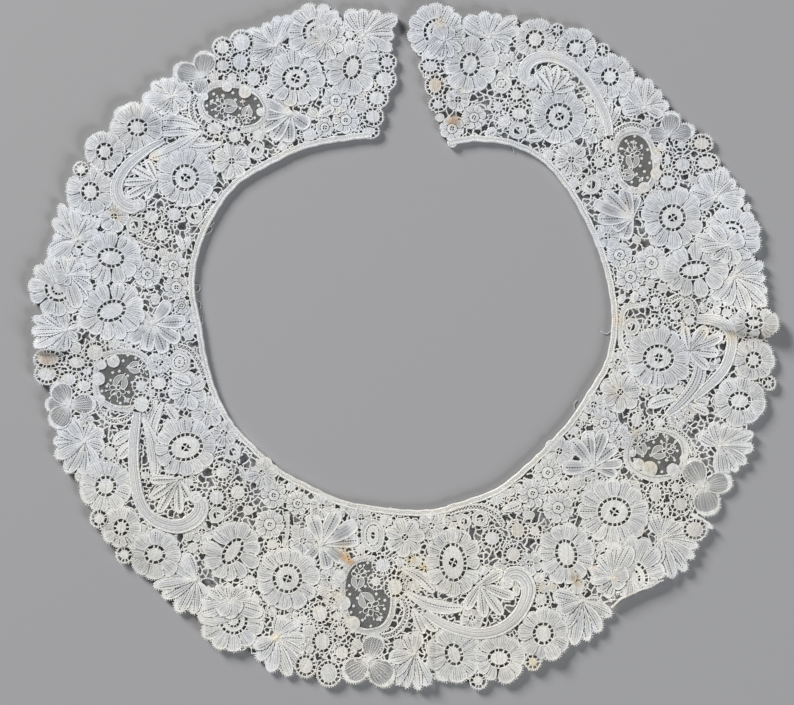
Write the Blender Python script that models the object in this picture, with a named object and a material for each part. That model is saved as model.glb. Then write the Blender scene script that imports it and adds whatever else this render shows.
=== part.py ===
# Lace collar laid flat: a C-shaped bobbin-lace panel with a scalloped outer edge, five oval
# needle-lace insets let into openings of the panel, and a corded tape along the neck edge.
# Units are metres, +Z is up. The front opening is at +Y, the back of the neck at -Y.
#
# The tables below give places on the laid-out collar in steps of 0.44 mm: "across" grows to the
# right, "down" grows towards the back of the collar. Bearings are degrees about the neck's centre,
# counted from the right hand side, and they run from the right front round the back to the left front.
import math

import bmesh
import bpy
import numpy as np
from mathutils import Vector
from mathutils.geometry import delaunay_2d_cdt

# ---------------------------------------------------------------- driving sizes
STEP = 0.00044            # one table step
MIDDLE = (403.54, 346.93)  # table place of the origin: the middle of the laid-out collar
NECK_CENTRE = (404.0, 325.0)
PANEL_WALL = 0.0012       # thickness of the bobbin lace, raised work included
INSET_WALL = 0.0010       # thickness of a needle-lace inset with its outline cord
TAPE_WALL = 0.0014        # thickness of the neck tape's two cords
TAPE_WIDTH = 0.0022
SEAM = 0.0003             # gap between two pieces where they are sewn together
BODY_SPACING = 0.0097     # spacing of points inside the panel
FOLD_SPACING = 0.0030     # spacing of points along a fold
EDGE_TOLERANCE = 0.00022  # how closely the panel's edge follows its lobes

# ---------------------------------------------------------------- sections round the collar
# bearing (deg), neck edge radius (steps), radius of the bottoms of the scallops (steps)
SECTIONS = [
    (82, 176, 300), (76, 185, 312), (70, 196, 320), (60, 208, 330), (50, 214, 334),
    (40, 212, 335), (30, 209, 345), (20, 208, 354), (10, 208, 350), (0, 208, 362),
    (-10, 205, 360), (-20, 196, 355), (-30, 191, 348), (-40, 187, 352), (-50, 186, 344),
    (-60, 188, 354), (-70, 186, 359), (-80, 187, 359), (-90, 185, 352), (-100, 184, 355),
    (-110, 186, 360), (-120, 186, 363), (-130, 190, 353), (-140, 192, 350), (-150, 197, 356),
    (-160, 199, 361), (-170, 200, 358), (-180, 203, 361), (-190, 213, 356), (-200, 218, 352),
    (-210, 219, 348), (-220, 218, 340), (-230, 209, 332), (-240, 203, 326), (-250, 195, 318),
    (-260, 190, 308), (-266, 186, 300),
]
NECK_RIGHT = 76.0      # bearing of the right neck corner
NECK_LEFT = -260.2     # bearing of the left neck corner
OUTER_RIGHT = 88.0     # the scalloped edge starts here, at the right front
OUTER_LEFT = -268.3    # and ends here, at the left front

# ---------------------------------------------------------------- round motifs on the outer edge
# name, across, down, reach, number of petals, bearing of the first petal
EDGE_ROUNDS = [
    ("turned_flower_a", 436, 33, 28, 11, 90), ("daisy_a", 535, 40, 19, 8, 70),
    ("edge_loop_a", 557, 31, 6, 1, 60), ("daisy_b", 576, 49, 19, 8, 60),
    ("edge_loop_b", 602, 51, 6, 1, 50), ("daisy_c", 609.5, 77.5, 23, 8, 50),
    ("bud_a", 645, 125, 6, 1, 40), ("plaque_a", 701, 144, 10, 1, 25),
    ("plaque_b", 706, 163, 12, 1, 25), ("bud_b", 746, 208, 4, 1, 20),
    ("turned_flower_b", 731, 236, 28, 11, 15), ("daisy_d", 752, 324, 25, 8, 0),
    ("daisy_e", 753, 360, 20, 8, -5), ("edge_loop_c", 768, 383, 6, 1, -9),
    ("daisy_f", 739, 401, 26, 8, -13), ("plaque_c", 694, 530, 12, 1, -35),
    ("daisy_g", 543, 633, 26, 9, -65), ("edge_loop_d", 532, 663, 7, 1, -70),
    ("daisy_h", 499, 657, 25, 9, -74), ("edge_loop_e", 478, 681, 7, 1, -78),
    ("daisy_i", 453, 654, 29, 9, -81), ("plaque_d", 329, 673, 13, 1, -100),
    ("plaque_e", 306, 665, 12, 1, -105), ("turned_flower_d", 229, 619, 36, 11, -120),
    ("daisy_j", 155, 554, 26, 8, -138), ("edge_loop_f", 125, 553, 8, 1, -140),
    ("daisy_k", 122, 527, 20, 8, -145), ("edge_loop_g", 100, 518, 8, 1, -148),
    ("daisy_l", 106, 486, 26, 8, -152), ("bud_c", 80, 476, 6, 1, -156),
    ("plaque_f", 48, 373, 12, 1, -172), ("plaque_g", 49, 359, 13, 1, -174),
    ("turned_flower_e", 60, 286, 30, 11, -187), ("daisy_m", 91, 192, 24, 8, -203),
    ("edge_loop_h", 82, 170, 7, 1, -206), ("daisy_n", 105, 152, 20, 8, -210),
    ("daisy_o", 136, 128, 27, 9, -217), ("plaque_h", 223, 48, 10, 1, -237),
    ("plaque_i", 242, 43, 12, 1, -240), ("turned_flower_f", 316, 33, 29, 11, -253),
]

# ---------------------------------------------------------------- leaf sprays on the outer edge
# name, across and down of the spray's eye, radius of a leaf's tip, the leaves' tips
EDGE_SPRAYS = [
    ("spray_a", 489, 38, 6, [(483, 13), (499, 15), (516, 18), (520, 30), (512, 42)]),
    ("spray_b", 644, 108, 6, [(636, 78), (648, 80), (660, 92), (668, 106)]),
    ("sheer_a", 668, 133, 9, [(678, 110), (690, 121), (698, 136)]),
    ("spray_c", 715, 197, 7, [(722, 168), (734, 181), (744, 193), (743, 203)]),
    ("spray_d", 733, 277, 7, [(762, 262), (764, 278), (765, 292), (766, 306), (752, 312)]),
    ("spray_e", 719, 446, 7, [(752, 433), (752, 448), (745, 463), (736, 471), (725, 473)]),
    ("sheer_b", 701, 486, 10, [(727, 476), (726, 490), (718, 503), (706, 514)]),
    ("spray_f", 661, 538, 7, [(697, 546), (693, 557), (688, 568), (674, 571)]),
    ("turned_flower_c", 630, 572, 9, [(664, 573), (650, 583), (636, 588), (622, 594), (612, 600)]),
    ("spray_g", 581, 600, 8, [(611, 614), (599, 631), (587, 640), (573, 644)]),
    ("spray_h", 414, 653, 7, [(429, 686), (418, 689), (406, 686), (397, 683), (390, 677)]),
    ("sheer_c", 369, 661, 12, [(354, 685), (366, 685), (382, 686), (392, 682)]),
    ("spray_i", 276, 637, 8, [(303, 670), (290, 675), (271, 671), (258, 659)]),
    ("spray_j", 197, 578, 7, [(194, 612), (178, 611), (164, 596), (154, 586), (160, 576)]),
    ("spray_k", 85, 441, 8, [(68, 472), (56, 456), (54, 441), (59, 429)]),
    ("sheer_d", 69, 405, 10, [(52, 424), (50, 412), (45, 398), (50, 388)]),
    ("spray_l", 67, 330, 7, [(34, 346), (33, 331), (34, 318)]),
    ("spray_m", 77, 240, 7, [(50, 258), (54, 238), (54, 220), (61, 204), (72, 206)]),
    ("spray_n", 173, 97, 7, [(143, 99), (152, 84), (163, 79), (174, 78)]),
    ("sheer_e", 202, 77, 10, [(174, 71), (186, 64), (194, 56), (205, 54), (214, 58)]),
    ("spray_o", 276, 46, 7, [(247, 32), (265, 24), (278, 17), (291, 16)]),
    ("spray_p", 363, 36, 8, [(348, 11), (363, 10), (379, 12), (397, 18)]),
]

# ---------------------------------------------------------------- the two front edges, neck to outer edge
# across, down
RIGHT_FRONT = [
    (450, 139.5), (443, 134), (441, 125), (437, 118), (429, 108), (430, 98), (426, 84), (419, 75),
    (418, 65), (415, 56), (410, 44), (407, 33), (408, 23), (412.5, 15.5),
]
LEFT_FRONT = [
    (397.5, 15), (399.5, 22), (396, 31), (395, 38), (393.5, 46), (394.5, 58), (395, 68), (395.5, 80),
    (392, 90), (388, 99), (383, 107), (382, 117), (378, 127), (374, 133),
]

# ---------------------------------------------------------------- needle-lace insets
# name, across, down, half width, half depth, turn (deg, anticlockwise)
INSETS = [
    ("medallion_1", 634.5, 161.5, 18.5, 27.5, 8),
    ("medallion_2", 234, 107, 31, 19.5, -12),
    ("medallion_3", 124.5, 380, 27, 27, 0),
    ("medallion_4", 368, 594.5, 23.5, 35, 5),
    ("medallion_5", 655.5, 453.5, 27, 22.5, -8),
]

# ---------------------------------------------------------------- folds that stand up from the table
# name, start across, start down, end across, end down, height (m), width on the side to the left of
# the run (steps), width on its right side (steps), length over which the start rises (steps)
FOLDS = [
    ("pleat_right", 700, 320, 786, 336, 0.0034, 30, 5, 26),
    ("pleat_left", 74, 349, 22, 350, 0.0022, 4, 24, 20),
    ("ripple_back", 428, 626, 427, 700, 0.0022, 7, 9, 20),
    ("turned_edge", 604, 606, 668, 574, 0.0014, 16, 10, 14),
    ("ripple_back_right", 520, 640, 560, 662, 0.0010, 14, 10, 12),
    ("ripple_front_left", 118, 108, 168, 120, 0.0012, 10, 14, 12),
]

# ---------------------------------------------------------------- soft lift of the outer edge
# bearing (deg), lift of the edge (m)
EDGE_LIFT = [
    (89, 0.0010), (80, 0.0012), (70, 0.0003), (60, 0.0), (48, 0.0007), (38, 0.0003), (28, 0.0),
    (18, 0.0006), (6, 0.0008), (-4, 0.0), (-18, 0.0007), (-28, 0.0), (-38, 0.0009), (-48, 0.0),
    (-58, 0.0004), (-70, 0.0008), (-82, 0.0), (-96, 0.0006), (-108, 0.0), (-120, 0.0009),
    (-132, 0.0), (-144, 0.0008), (-156, 0.0), (-168, 0.0004), (-182, 0.0008), (-196, 0.0),
    (-208, 0.0008), (-220, 0.0003), (-232, 0.0), (-244, 0.0007), (-256, 0.0), (-269, 0.0009),
]
LIFT_REACH = 34.0   # the lift fades out over this many steps inside the edge


def smooth(t):
    t = min(max(t, 0.0), 1.0)
    return t * t * (3.0 - 2.0 * t)


def from_rows(rows, column, bearing):
    """Value of a table column at a bearing, on a smooth curve through the rows."""
    keys = [row[0] for row in rows]
    values = [row[column] for row in rows]
    if bearing >= keys[0]:
        return values[0]
    if bearing <= keys[-1]:
        return values[-1]
    i = next(k for k in range(len(keys) - 1) if keys[k] >= bearing >= keys[k + 1])
    t = (keys[i] - bearing) / (keys[i] - keys[i + 1])
    a, b = values[max(i - 1, 0)], values[i]
    c, d = values[i + 1], values[min(i + 2, len(values) - 1)]
    return b + 0.5 * t * (c - a + t * (2 * a - 5 * b + 4 * c - d + t * (3 * (b - c) + d - a)))


def place(bearing, radius):
    """Table place at a bearing and radius about the neck's centre."""
    a = math.radians(bearing)
    return (NECK_CENTRE[0] + radius * math.cos(a), NECK_CENTRE[1] - radius * math.sin(a))


def metres(p):
    return ((p[0] - MIDDLE[0]) * STEP, (MIDDLE[1] - p[1]) * STEP)


def edge_discs():
    """The rounded lobes that make up the outer edge, as (across, down, radius)."""
    discs = []
    for _, x, y, reach, petals, first in EDGE_ROUNDS:
        if petals == 1:
            discs.append((x, y, reach))
            continue
        s = math.sin(math.pi / petals)
        r = 1.08 * reach * s / (1.0 + s)
        for k in range(petals):
            a = math.radians(first + 360.0 * k / petals)
            discs.append((x + (reach - r) * math.cos(a), y - (reach - r) * math.sin(a), r))
    for _, x, y, r, tips in EDGE_SPRAYS:
        for tx, ty in tips:
            d = math.hypot(tx - x, ty - y)
            discs.append((tx - (tx - x) / d * r, ty - (ty - y) / d * r, r))
    return discs


def outer_radius(bearing, discs):
    best = from_rows(SECTIONS, 2, bearing)
    a = math.radians(bearing)
    ux, uy = math.cos(a), -math.sin(a)
    for x, y, r in discs:
        dx, dy = x - NECK_CENTRE[0], y - NECK_CENTRE[1]
        along = dx * ux + dy * uy
        if along <= 0:
            continue
        off2 = dx * dx + dy * dy - along * along
        if off2 < r * r:
            best = max(best, along + math.sqrt(r * r - off2))
    return best


def simplify(points, tolerance):
    """Fewest points of a line that keep it within the tolerance."""
    keep = [False] * len(points)
    keep[0] = keep[-1] = True
    stack = [(0, len(points) - 1)]
    while stack:
        a, b = stack.pop()
        if b - a < 2:
            continue
        pa, pb = np.array(points[a]), np.array(points[b])
        d = pb - pa
        length = max(float(np.hypot(*d)), 1e-9)
        mid = np.array(points[a + 1:b]) - pa
        off = np.abs(mid[:, 0] * d[1] - mid[:, 1] * d[0]) / length
        k = int(np.argmax(off))
        if off[k] > tolerance:
            keep[a + 1 + k] = True
            stack += [(a, a + 1 + k), (a + 1 + k, b)]
    return [p for p, kept in zip(points, keep) if kept]


def rounded(points, turns=2):
    """Corner cutting, which leaves the two ends where they are."""
    for _ in range(turns):
        out = [points[0]]
        for (ax, ay), (bx, by) in zip(points[:-1], points[1:]):
            out += [(ax * 0.75 + bx * 0.25, ay * 0.75 + by * 0.25),
                    (ax * 0.25 + bx * 0.75, ay * 0.25 + by * 0.75)]
        points = out + [points[-1]]
    return points


def inset_outline(row, grow, count=28):
    """A squarish oval, as table places."""
    _, cx, cy, hw, hd, turn = row
    t = math.radians(turn)
    pts = []
    for k in range(count):
        a = 2.0 * math.pi * k / count
        c, s = math.cos(a), math.sin(a)
        x = (hw + grow) * math.copysign(abs(c) ** 0.86, c)
        y = (hd + grow) * math.copysign(abs(s) ** 0.86, s)
        pts.append((cx + x * math.cos(t) - y * math.sin(t), cy - x * math.sin(t) - y * math.cos(t)))
    return pts


def lift(p):
    """Height of the cloth's underside above the table, in metres, at a table place."""
    high = 0.0
    for _, x0, y0, x1, y1, height, left, right, rise in FOLDS:
        length = math.hypot(x1 - x0, y1 - y0)
        ux, uy = (x1 - x0) / length, (y1 - y0) / length
        along = (p[0] - x0) * ux + (p[1] - y0) * uy
        side = (p[0] - x0) * uy - (p[1] - y0) * ux   # positive to the left of the run, seen from above
        ends = smooth(along / rise) * smooth((length - along) / 6.0 + 1.0)
        width = left if side > 0 else right
        high = max(high, height * ends * smooth(1.0 - abs(side) / width))
    dx, dy = p[0] - NECK_CENTRE[0], NECK_CENTRE[1] - p[1]
    bearing = math.degrees(math.atan2(dy, dx))
    if bearing > 90.0:
        bearing -= 360.0
    edge = from_rows(SECTIONS, 2, bearing) + 6.0
    t = (math.hypot(dx, dy) - (edge - LIFT_REACH)) / LIFT_REACH
    return high + max(from_rows(EDGE_LIFT, 1, bearing), 0.0) * smooth(t)


def inside(p, loop):
    odd = False
    for (ax, ay), (bx, by) in zip(loop, loop[1:] + loop[:1]):
        if (ay > p[1]) != (by > p[1]) and p[0] < (bx - ax) * (p[1] - ay) / (by - ay) + ax:
            odd = not odd
    return odd


def nearest(p, loop):
    q = np.array(loop)
    r = np.roll(q, -1, axis=0)
    d = r - q
    t = np.clip(((p - q) * d).sum(1) / np.maximum((d * d).sum(1), 1e-12), 0, 1)
    return float(np.min(np.hypot(*(q + d * t[:, None] - p).T)))


def wall(name, loops, inner_points, thickness, colour, roughness):
    """A cloth wall over the area inside loops[0] and outside the others."""
    verts, edges = [], []
    for loop in loops:
        first = len(verts)
        verts += [Vector(p) for p in loop]
        edges += [(first + k, first + (k + 1) % len(loop)) for k in range(len(loop))]
    verts += [Vector(p) for p in inner_points]
    out_verts, _, out_faces, _, _, _ = delaunay_2d_cdt(verts, edges, [], 0, 1e-4)
    bm = bmesh.new()
    placed = []
    for v in out_verts:
        x, y = metres(v)
        placed.append(bm.verts.new((x, y, lift(v))))
    for face in out_faces:
        cx = sum(out_verts[i][0] for i in face) / len(face)
        cy = sum(out_verts[i][1] for i in face) / len(face)
        if inside((cx, cy), loops[0]) and not any(inside((cx, cy), hole) for hole in loops[1:]):
            bm.faces.new([placed[i] for i in face])
    bmesh.ops.delete(bm, geom=[v for v in bm.verts if not v.link_faces], context="VERTS")
    bmesh.ops.recalc_face_normals(bm, faces=bm.faces)
    top = bmesh.ops.extrude_face_region(bm, geom=list(bm.faces))
    bmesh.ops.translate(bm, vec=(0, 0, thickness),
                        verts=[g for g in top["geom"] if isinstance(g, bmesh.types.BMVert)])
    bmesh.ops.triangulate(bm, faces=bm.faces)
    bmesh.ops.recalc_face_normals(bm, faces=bm.faces)
    finish(name, bm, colour, roughness)


def finish(name, bm, colour, roughness):
    mesh = bpy.data.meshes.new(name)
    bm.to_mesh(mesh)
    bm.free()
    mesh.shade_smooth()
    mesh.set_sharp_from_angle(angle=math.radians(50))
    material = bpy.data.materials.new(name)
    material.use_nodes = True
    shader = material.node_tree.nodes["Principled BSDF"]
    shader.inputs["Base Color"].default_value = (*colour, 1.0)
    shader.inputs["Roughness"].default_value = roughness
    shader.inputs["Metallic"].default_value = 0.0
    mesh.materials.append(material)
    obj = bpy.data.objects.new(name, mesh)
    bpy.context.collection.objects.link(obj)
    return obj


def hex_points(x0, y0, x1, y1, spacing):
    rows = int((y1 - y0) / (spacing * 0.866)) + 1
    for j in range(rows):
        y = y0 + j * spacing * 0.866
        x = x0 + (0.5 * spacing if j % 2 else 0.0)
        while x <= x1:
            yield (x, y)
            x += spacing


def panel():
    """The C-shaped panel of bobbin lace, with an opening for each inset."""
    discs = edge_discs()
    count = 3600
    outer = [place(b, outer_radius(b, discs))
             for b in np.linspace(OUTER_RIGHT, OUTER_LEFT, count)]
    outer = simplify(outer, EDGE_TOLERANCE / STEP)
    gap = (TAPE_WIDTH + SEAM) / STEP
    inner = [place(b, from_rows(SECTIONS, 1, b) + gap)
             for b in np.linspace(NECK_LEFT + 0.6, NECK_RIGHT - 0.4, 170)]
    loop = outer + rounded(LEFT_FRONT, 1) + inner + rounded(RIGHT_FRONT, 1)
    holes = [inset_outline(row, SEAM / STEP) for row in INSETS]
    points = []
    body, fold = BODY_SPACING / STEP, FOLD_SPACING / STEP
    for p in hex_points(20, 0, 790, 700, body):
        points.append((p, 0.42 * body))
    for _, x0, y0, x1, y1, _, left, right, _ in FOLDS:
        length = math.hypot(x1 - x0, y1 - y0)
        ux, uy = (x1 - x0) / length, (y1 - y0) / length
        for along in np.arange(0.0, length + 1.0, fold):
            for side in (0.0, left * 0.3, left * 0.65, left, -right * 0.4, -right):
                points.append(((x0 + ux * along + uy * side, y0 + uy * along - ux * side), 2.2))
    kept = []
    for p, clear in points[::-1]:
        if not inside(p, loop) or any(inside(p, hole) for hole in holes):
            continue
        if min(nearest(np.array(p), ring) for ring in [loop] + holes) < clear:
            continue
        if any(math.hypot(p[0] - q[0], p[1] - q[1]) < clear for q in kept):
            continue
        kept.append(p)
    wall("lace_panel", [loop] + holes, kept, PANEL_WALL, (0.80, 0.80, 0.77), 0.85)


def insets():
    for row in INSETS:
        loop = inset_outline(row, 0.0)
        middle = [(row[1] + (x - row[1]) * f, row[2] + (y - row[2]) * f)
                  for f, every in ((0.62, 3), (0.25, 7)) for x, y in loop[::every]]
        wall(row[0], [loop], middle, INSET_WALL, (0.42, 0.42, 0.40), 0.9)


def neck_tape():
    """The corded tape that finishes the neck edge, a flat bar swept round it."""
    count = 118
    width = TAPE_WIDTH / STEP
    bm = bmesh.new()
    rings = []
    for b in np.linspace(NECK_RIGHT, NECK_LEFT, count):
        r = from_rows(SECTIONS, 1, b)
        a, c = place(b, r), place(b, r + width)
        low = lift(((a[0] + c[0]) / 2, (a[1] + c[1]) / 2))
        ring = []
        for p, z in ((a, low), (c, low), (c, low + TAPE_WALL), (a, low + TAPE_WALL)):
            x, y = metres(p)
            ring.append(bm.verts.new((x, y, z)))
        rings.append(ring)
    for one, two in zip(rings[:-1], rings[1:]):
        for k in range(4):
            bm.faces.new((one[k], one[(k + 1) % 4], two[(k + 1) % 4], two[k]))
    bm.faces.new(rings[0])
    bm.faces.new(rings[-1])
    bmesh.ops.triangulate(bm, faces=bm.faces)
    bmesh.ops.recalc_face_normals(bm, faces=bm.faces)
    finish("neck_tape", bm, (0.84, 0.83, 0.79), 0.8)


for old in list(bpy.data.objects):
    bpy.data.objects.remove(old, do_unlink=True)
panel()
insets()
neck_tape()
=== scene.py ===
# Looks of the laid-out lace collar: bobbin-lace motifs, bars, needle-lace insets and the neck tape.
# Tables give places on the collar in steps of 0.44 mm, across to the right and down towards the back.
import math

import bpy
import numpy as np
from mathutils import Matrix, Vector
from mathutils.geometry import delaunay_2d_cdt


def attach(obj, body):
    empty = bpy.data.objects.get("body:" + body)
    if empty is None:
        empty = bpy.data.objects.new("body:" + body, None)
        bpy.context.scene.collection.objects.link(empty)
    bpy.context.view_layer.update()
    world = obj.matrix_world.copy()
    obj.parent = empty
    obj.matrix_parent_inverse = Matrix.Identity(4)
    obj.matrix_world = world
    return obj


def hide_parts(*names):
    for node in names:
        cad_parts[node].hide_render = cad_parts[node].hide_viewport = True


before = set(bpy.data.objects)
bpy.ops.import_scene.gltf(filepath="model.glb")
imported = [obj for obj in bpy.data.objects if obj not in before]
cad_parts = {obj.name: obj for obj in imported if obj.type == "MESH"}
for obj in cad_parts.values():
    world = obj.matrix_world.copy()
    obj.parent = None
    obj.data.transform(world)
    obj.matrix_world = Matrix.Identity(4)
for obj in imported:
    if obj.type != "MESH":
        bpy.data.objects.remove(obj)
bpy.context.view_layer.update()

STEP = 0.00044
MIDDLE = (403.54, 346.93)
NECK = (404.0, 325.0)
MM = 0.001
LOFT = 1.20                     # how far the worked threads stand off the table, in mm
rng = np.random.default_rng(11)

# ------------------------------------------------------------------ sections and folds, as in the frame
SECTIONS = np.array([
    (82, 176, 300), (76, 185, 312), (70, 196, 320), (60, 208, 330), (50, 214, 334),
    (40, 212, 335), (30, 209, 345), (20, 208, 354), (10, 208, 350), (0, 208, 362),
    (-10, 205, 360), (-20, 196, 355), (-30, 191, 348), (-40, 187, 352), (-50, 186, 344),
    (-60, 188, 354), (-70, 186, 359), (-80, 187, 359), (-90, 185, 352), (-100, 184, 355),
    (-110, 186, 360), (-120, 186, 363), (-130, 190, 353), (-140, 192, 350), (-150, 197, 356),
    (-160, 199, 361), (-170, 200, 358), (-180, 203, 361), (-190, 213, 356), (-200, 218, 352),
    (-210, 219, 348), (-220, 218, 340), (-230, 209, 332), (-240, 203, 326), (-250, 195, 318),
    (-260, 190, 308), (-266, 186, 300),
], float)
FOLDS = [
    ("pleat_right", 700, 320, 786, 336, 0.0034, 30, 5, 26),
    ("pleat_left", 74, 349, 22, 350, 0.0022, 4, 24, 20),
    ("ripple_back", 428, 626, 427, 700, 0.0015, 8, 12, 20),
    ("turned_edge", 604, 606, 668, 574, 0.0014, 16, 10, 14),
    ("ripple_back_right", 520, 640, 560, 662, 0.0010, 14, 10, 12),
    ("ripple_front_left", 118, 108, 168, 120, 0.0012, 10, 14, 12),
]
EDGE_LIFT = np.array([
    (89, 0.0010), (80, 0.0012), (70, 0.0003), (60, 0.0), (48, 0.0007), (38, 0.0003), (28, 0.0),
    (18, 0.0006), (6, 0.0008), (-4, 0.0), (-18, 0.0007), (-28, 0.0), (-38, 0.0009), (-48, 0.0),
    (-58, 0.0004), (-70, 0.0008), (-82, 0.0), (-96, 0.0006), (-108, 0.0), (-120, 0.0009),
    (-132, 0.0), (-144, 0.0008), (-156, 0.0), (-168, 0.0004), (-182, 0.0008), (-196, 0.0),
    (-208, 0.0008), (-220, 0.0003), (-232, 0.0), (-244, 0.0007), (-256, 0.0), (-269, 0.0009),
])
LIFT_REACH = 34.0


def smooth(t):
    t = np.clip(t, 0.0, 1.0)
    return t * t * (3.0 - 2.0 * t)


def catmull(keys, values, b):
    """Smooth curve through rows whose keys fall, read at an array of bearings."""
    b = np.clip(np.asarray(b, float), keys[-1], keys[0])
    i = np.clip(np.searchsorted(-keys, -b, side="right") - 1, 0, len(keys) - 2)
    t = (keys[i] - b) / (keys[i] - keys[i + 1])
    a, p = values[np.maximum(i - 1, 0)], values[i]
    c, d = values[i + 1], values[np.minimum(i + 2, len(values) - 1)]
    return p + 0.5 * t * (c - a + t * (2 * a - 5 * p + 4 * c - d + t * (3 * (p - c) + d - a)))


def neck_radius(b):
    return catmull(SECTIONS[:, 0], SECTIONS[:, 1], b)


def body_radius(b):
    return catmull(SECTIONS[:, 0], SECTIONS[:, 2], b)


def polar(x, y):
    dx, dy = np.asarray(x, float) - NECK[0], NECK[1] - np.asarray(y, float)
    b = np.degrees(np.arctan2(dy, dx))
    return np.where(b > 90.0, b - 360.0, b), np.hypot(dx, dy)


def place(b, r):
    a = np.radians(b)
    return NECK[0] + r * np.cos(a), NECK[1] - r * np.sin(a)


def lift(x, y):
    """Height of the cloth's underside above the table, as in the frame."""
    x, y = np.asarray(x, float), np.asarray(y, float)
    high = np.zeros_like(x)
    for _, x0, y0, x1, y1, height, left, right, rise in FOLDS:
        length = math.hypot(x1 - x0, y1 - y0)
        ux, uy = (x1 - x0) / length, (y1 - y0) / length
        along = (x - x0) * ux + (y - y0) * uy
        side = (x - x0) * uy - (y - y0) * ux
        ends = smooth(along / rise) * smooth((length - along) / 6.0 + 1.0)
        width = np.where(side > 0, left, right)
        high = np.maximum(high, height * ends * smooth(1.0 - np.abs(side) / width))
    b, r = polar(x, y)
    t = (r - (body_radius(b) + 6.0 - LIFT_REACH)) / LIFT_REACH
    return high + np.maximum(catmull(EDGE_LIFT[:, 0], EDGE_LIFT[:, 1], b), 0.0) * smooth(t)


# ------------------------------------------------------------------ stains, painted light and shade, and colour of the thread
# across, down, radius, strength, colour
STAINS_AND_FOLD_SHADOWS = [
    (455, 121, 7, 0.75, (0.55, 0.36, 0.20)), (449, 122, 5, 0.6, (0.62, 0.45, 0.28)),
    (440, 24, 7, 0.5, (0.70, 0.60, 0.44)), (436, 85, 9, 0.65, (0.66, 0.55, 0.40)),
    (463, 89, 6, 0.35, (0.74, 0.66, 0.52)), (115, 213, 7, 0.6, (0.74, 0.66, 0.52)),
    (120, 219, 5, 0.5, (0.74, 0.68, 0.52)), (345, 556, 6, 0.9, (0.60, 0.36, 0.16)),
    (350, 561, 5, 0.85, (0.72, 0.46, 0.24)), (343, 548, 10, 0.5, (0.78, 0.66, 0.48)),
    (411, 559, 6, 0.7, (0.78, 0.64, 0.38)), (423, 567, 6, 0.7, (0.78, 0.62, 0.36)),
    (399, 593, 5, 0.5, (0.82, 0.72, 0.48)), (532, 663, 7, 0.7, (0.78, 0.64, 0.42)),
    (575, 578, 5, 0.75, (0.58, 0.42, 0.26)), (577, 583, 4, 0.7, (0.62, 0.46, 0.28)),
    (572, 570, 3, 0.4, (0.70, 0.58, 0.42)), (592, 567, 3.5, 0.6, (0.78, 0.60, 0.46)),
    (643, 534, 4, 0.6, (0.76, 0.58, 0.44)), (614, 577, 5, 0.45, (0.80, 0.66, 0.50)),
    (613, 392, 11, 0.35, (0.80, 0.68, 0.52)), (616, 318, 9, 0.35, (0.80, 0.68, 0.52)),
    (627, 208, 10, 0.30, (0.80, 0.72, 0.58)), (290, 108, 9, 0.35, (0.82, 0.74, 0.58)),
    (650, 466, 9, 0.65, (0.76, 0.68, 0.50)), (641, 462, 6, 0.5, (0.74, 0.64, 0.48)),
    (634, 432, 7, 0.5, (0.78, 0.70, 0.54)), (517, 530, 10, 0.55, (0.70, 0.63, 0.50)),
    (513, 553, 6, 0.35, (0.74, 0.68, 0.54)), (539, 586, 7, 0.55, (0.62, 0.54, 0.42)),
    (552, 586, 5, 0.45, (0.82, 0.74, 0.52)), (680, 504, 10, 0.5, (0.68, 0.63, 0.54)),
    (694, 529, 11, 0.5, (0.72, 0.66, 0.55)), (701, 144, 10, 0.45, (0.70, 0.64, 0.53)),
    # 49, 359 and 42, 356: partly a brown stain, partly painted shadow under the left pleat
    (49, 359, 11, 0.7, (0.52, 0.42, 0.32)), (42, 356, 7, 0.5, (0.62, 0.50, 0.38)),
    (77, 362, 9, 0.25, (0.70, 0.64, 0.54)), (276, 636, 6, 0.55, (0.86, 0.76, 0.58)),
    # 740, 338 and 765, 334: partly a brown stain, partly painted shadow under the right pleat
    (740, 338, 16, 0.35, (0.70, 0.62, 0.50)), (765, 334, 12, 0.45, (0.68, 0.60, 0.48)),
    (245, 97, 8, 0.4, (0.74, 0.64, 0.50)), (218, 163, 7, 0.2, (0.80, 0.72, 0.6)),
    # 137, 110: painted shade beside the fold at the upper left
    (155, 158, 7, 0.55, (0.74, 0.66, 0.52)), (137, 110, 9, 0.4, (0.66, 0.60, 0.52)),
    (410, 585, 22, 0.35, (0.78, 0.73, 0.60)), (425, 640, 26, 0.35, (0.74, 0.69, 0.58)),
    (330, 595, 14, 0.35, (0.80, 0.72, 0.58)), (470, 600, 85, 0.22, (0.80, 0.77, 0.66)),
    (620, 470, 60, 0.12, (0.80, 0.76, 0.66)), (120, 430, 40, 0.10, (0.82, 0.78, 0.68)),
    (640, 160, 40, 0.18, (0.80, 0.76, 0.68)), (720, 260, 50, 0.10, (0.80, 0.76, 0.68)),
    (656, 152, 8, 0.40, (0.80, 0.72, 0.56)), (654, 172, 9, 0.40, (0.80, 0.72, 0.56)),
    (640, 190, 8, 0.35, (0.80, 0.73, 0.60)), (219, 92, 8, 0.30, (0.76, 0.69, 0.58)),
    # 704, 331: partly a brown stain, partly painted shadow under the right pleat
    (704, 331, 9, 0.40, (0.76, 0.66, 0.52)), (684, 330, 7, 0.35, (0.76, 0.66, 0.54)),
    # 730, 336: partly a brown stain, partly painted shadow under the right pleat
    (730, 336, 7, 0.55, (0.78, 0.66, 0.46)), (619, 322, 7, 0.45, (0.82, 0.70, 0.54)),
    (630, 596, 9, 0.45, (0.74, 0.64, 0.54)), (614, 605, 6, 0.45, (0.78, 0.68, 0.58)),
    (340, 595, 9, 0.40, (0.80, 0.72, 0.58)), (352, 620, 9, 0.35, (0.80, 0.72, 0.58)),
    (400, 575, 12, 0.30, (0.80, 0.72, 0.56)), (316, 545, 9, 0.25, (0.82, 0.76, 0.62)),
]
GROOVE = np.array((0.20, 0.21, 0.235))
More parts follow.
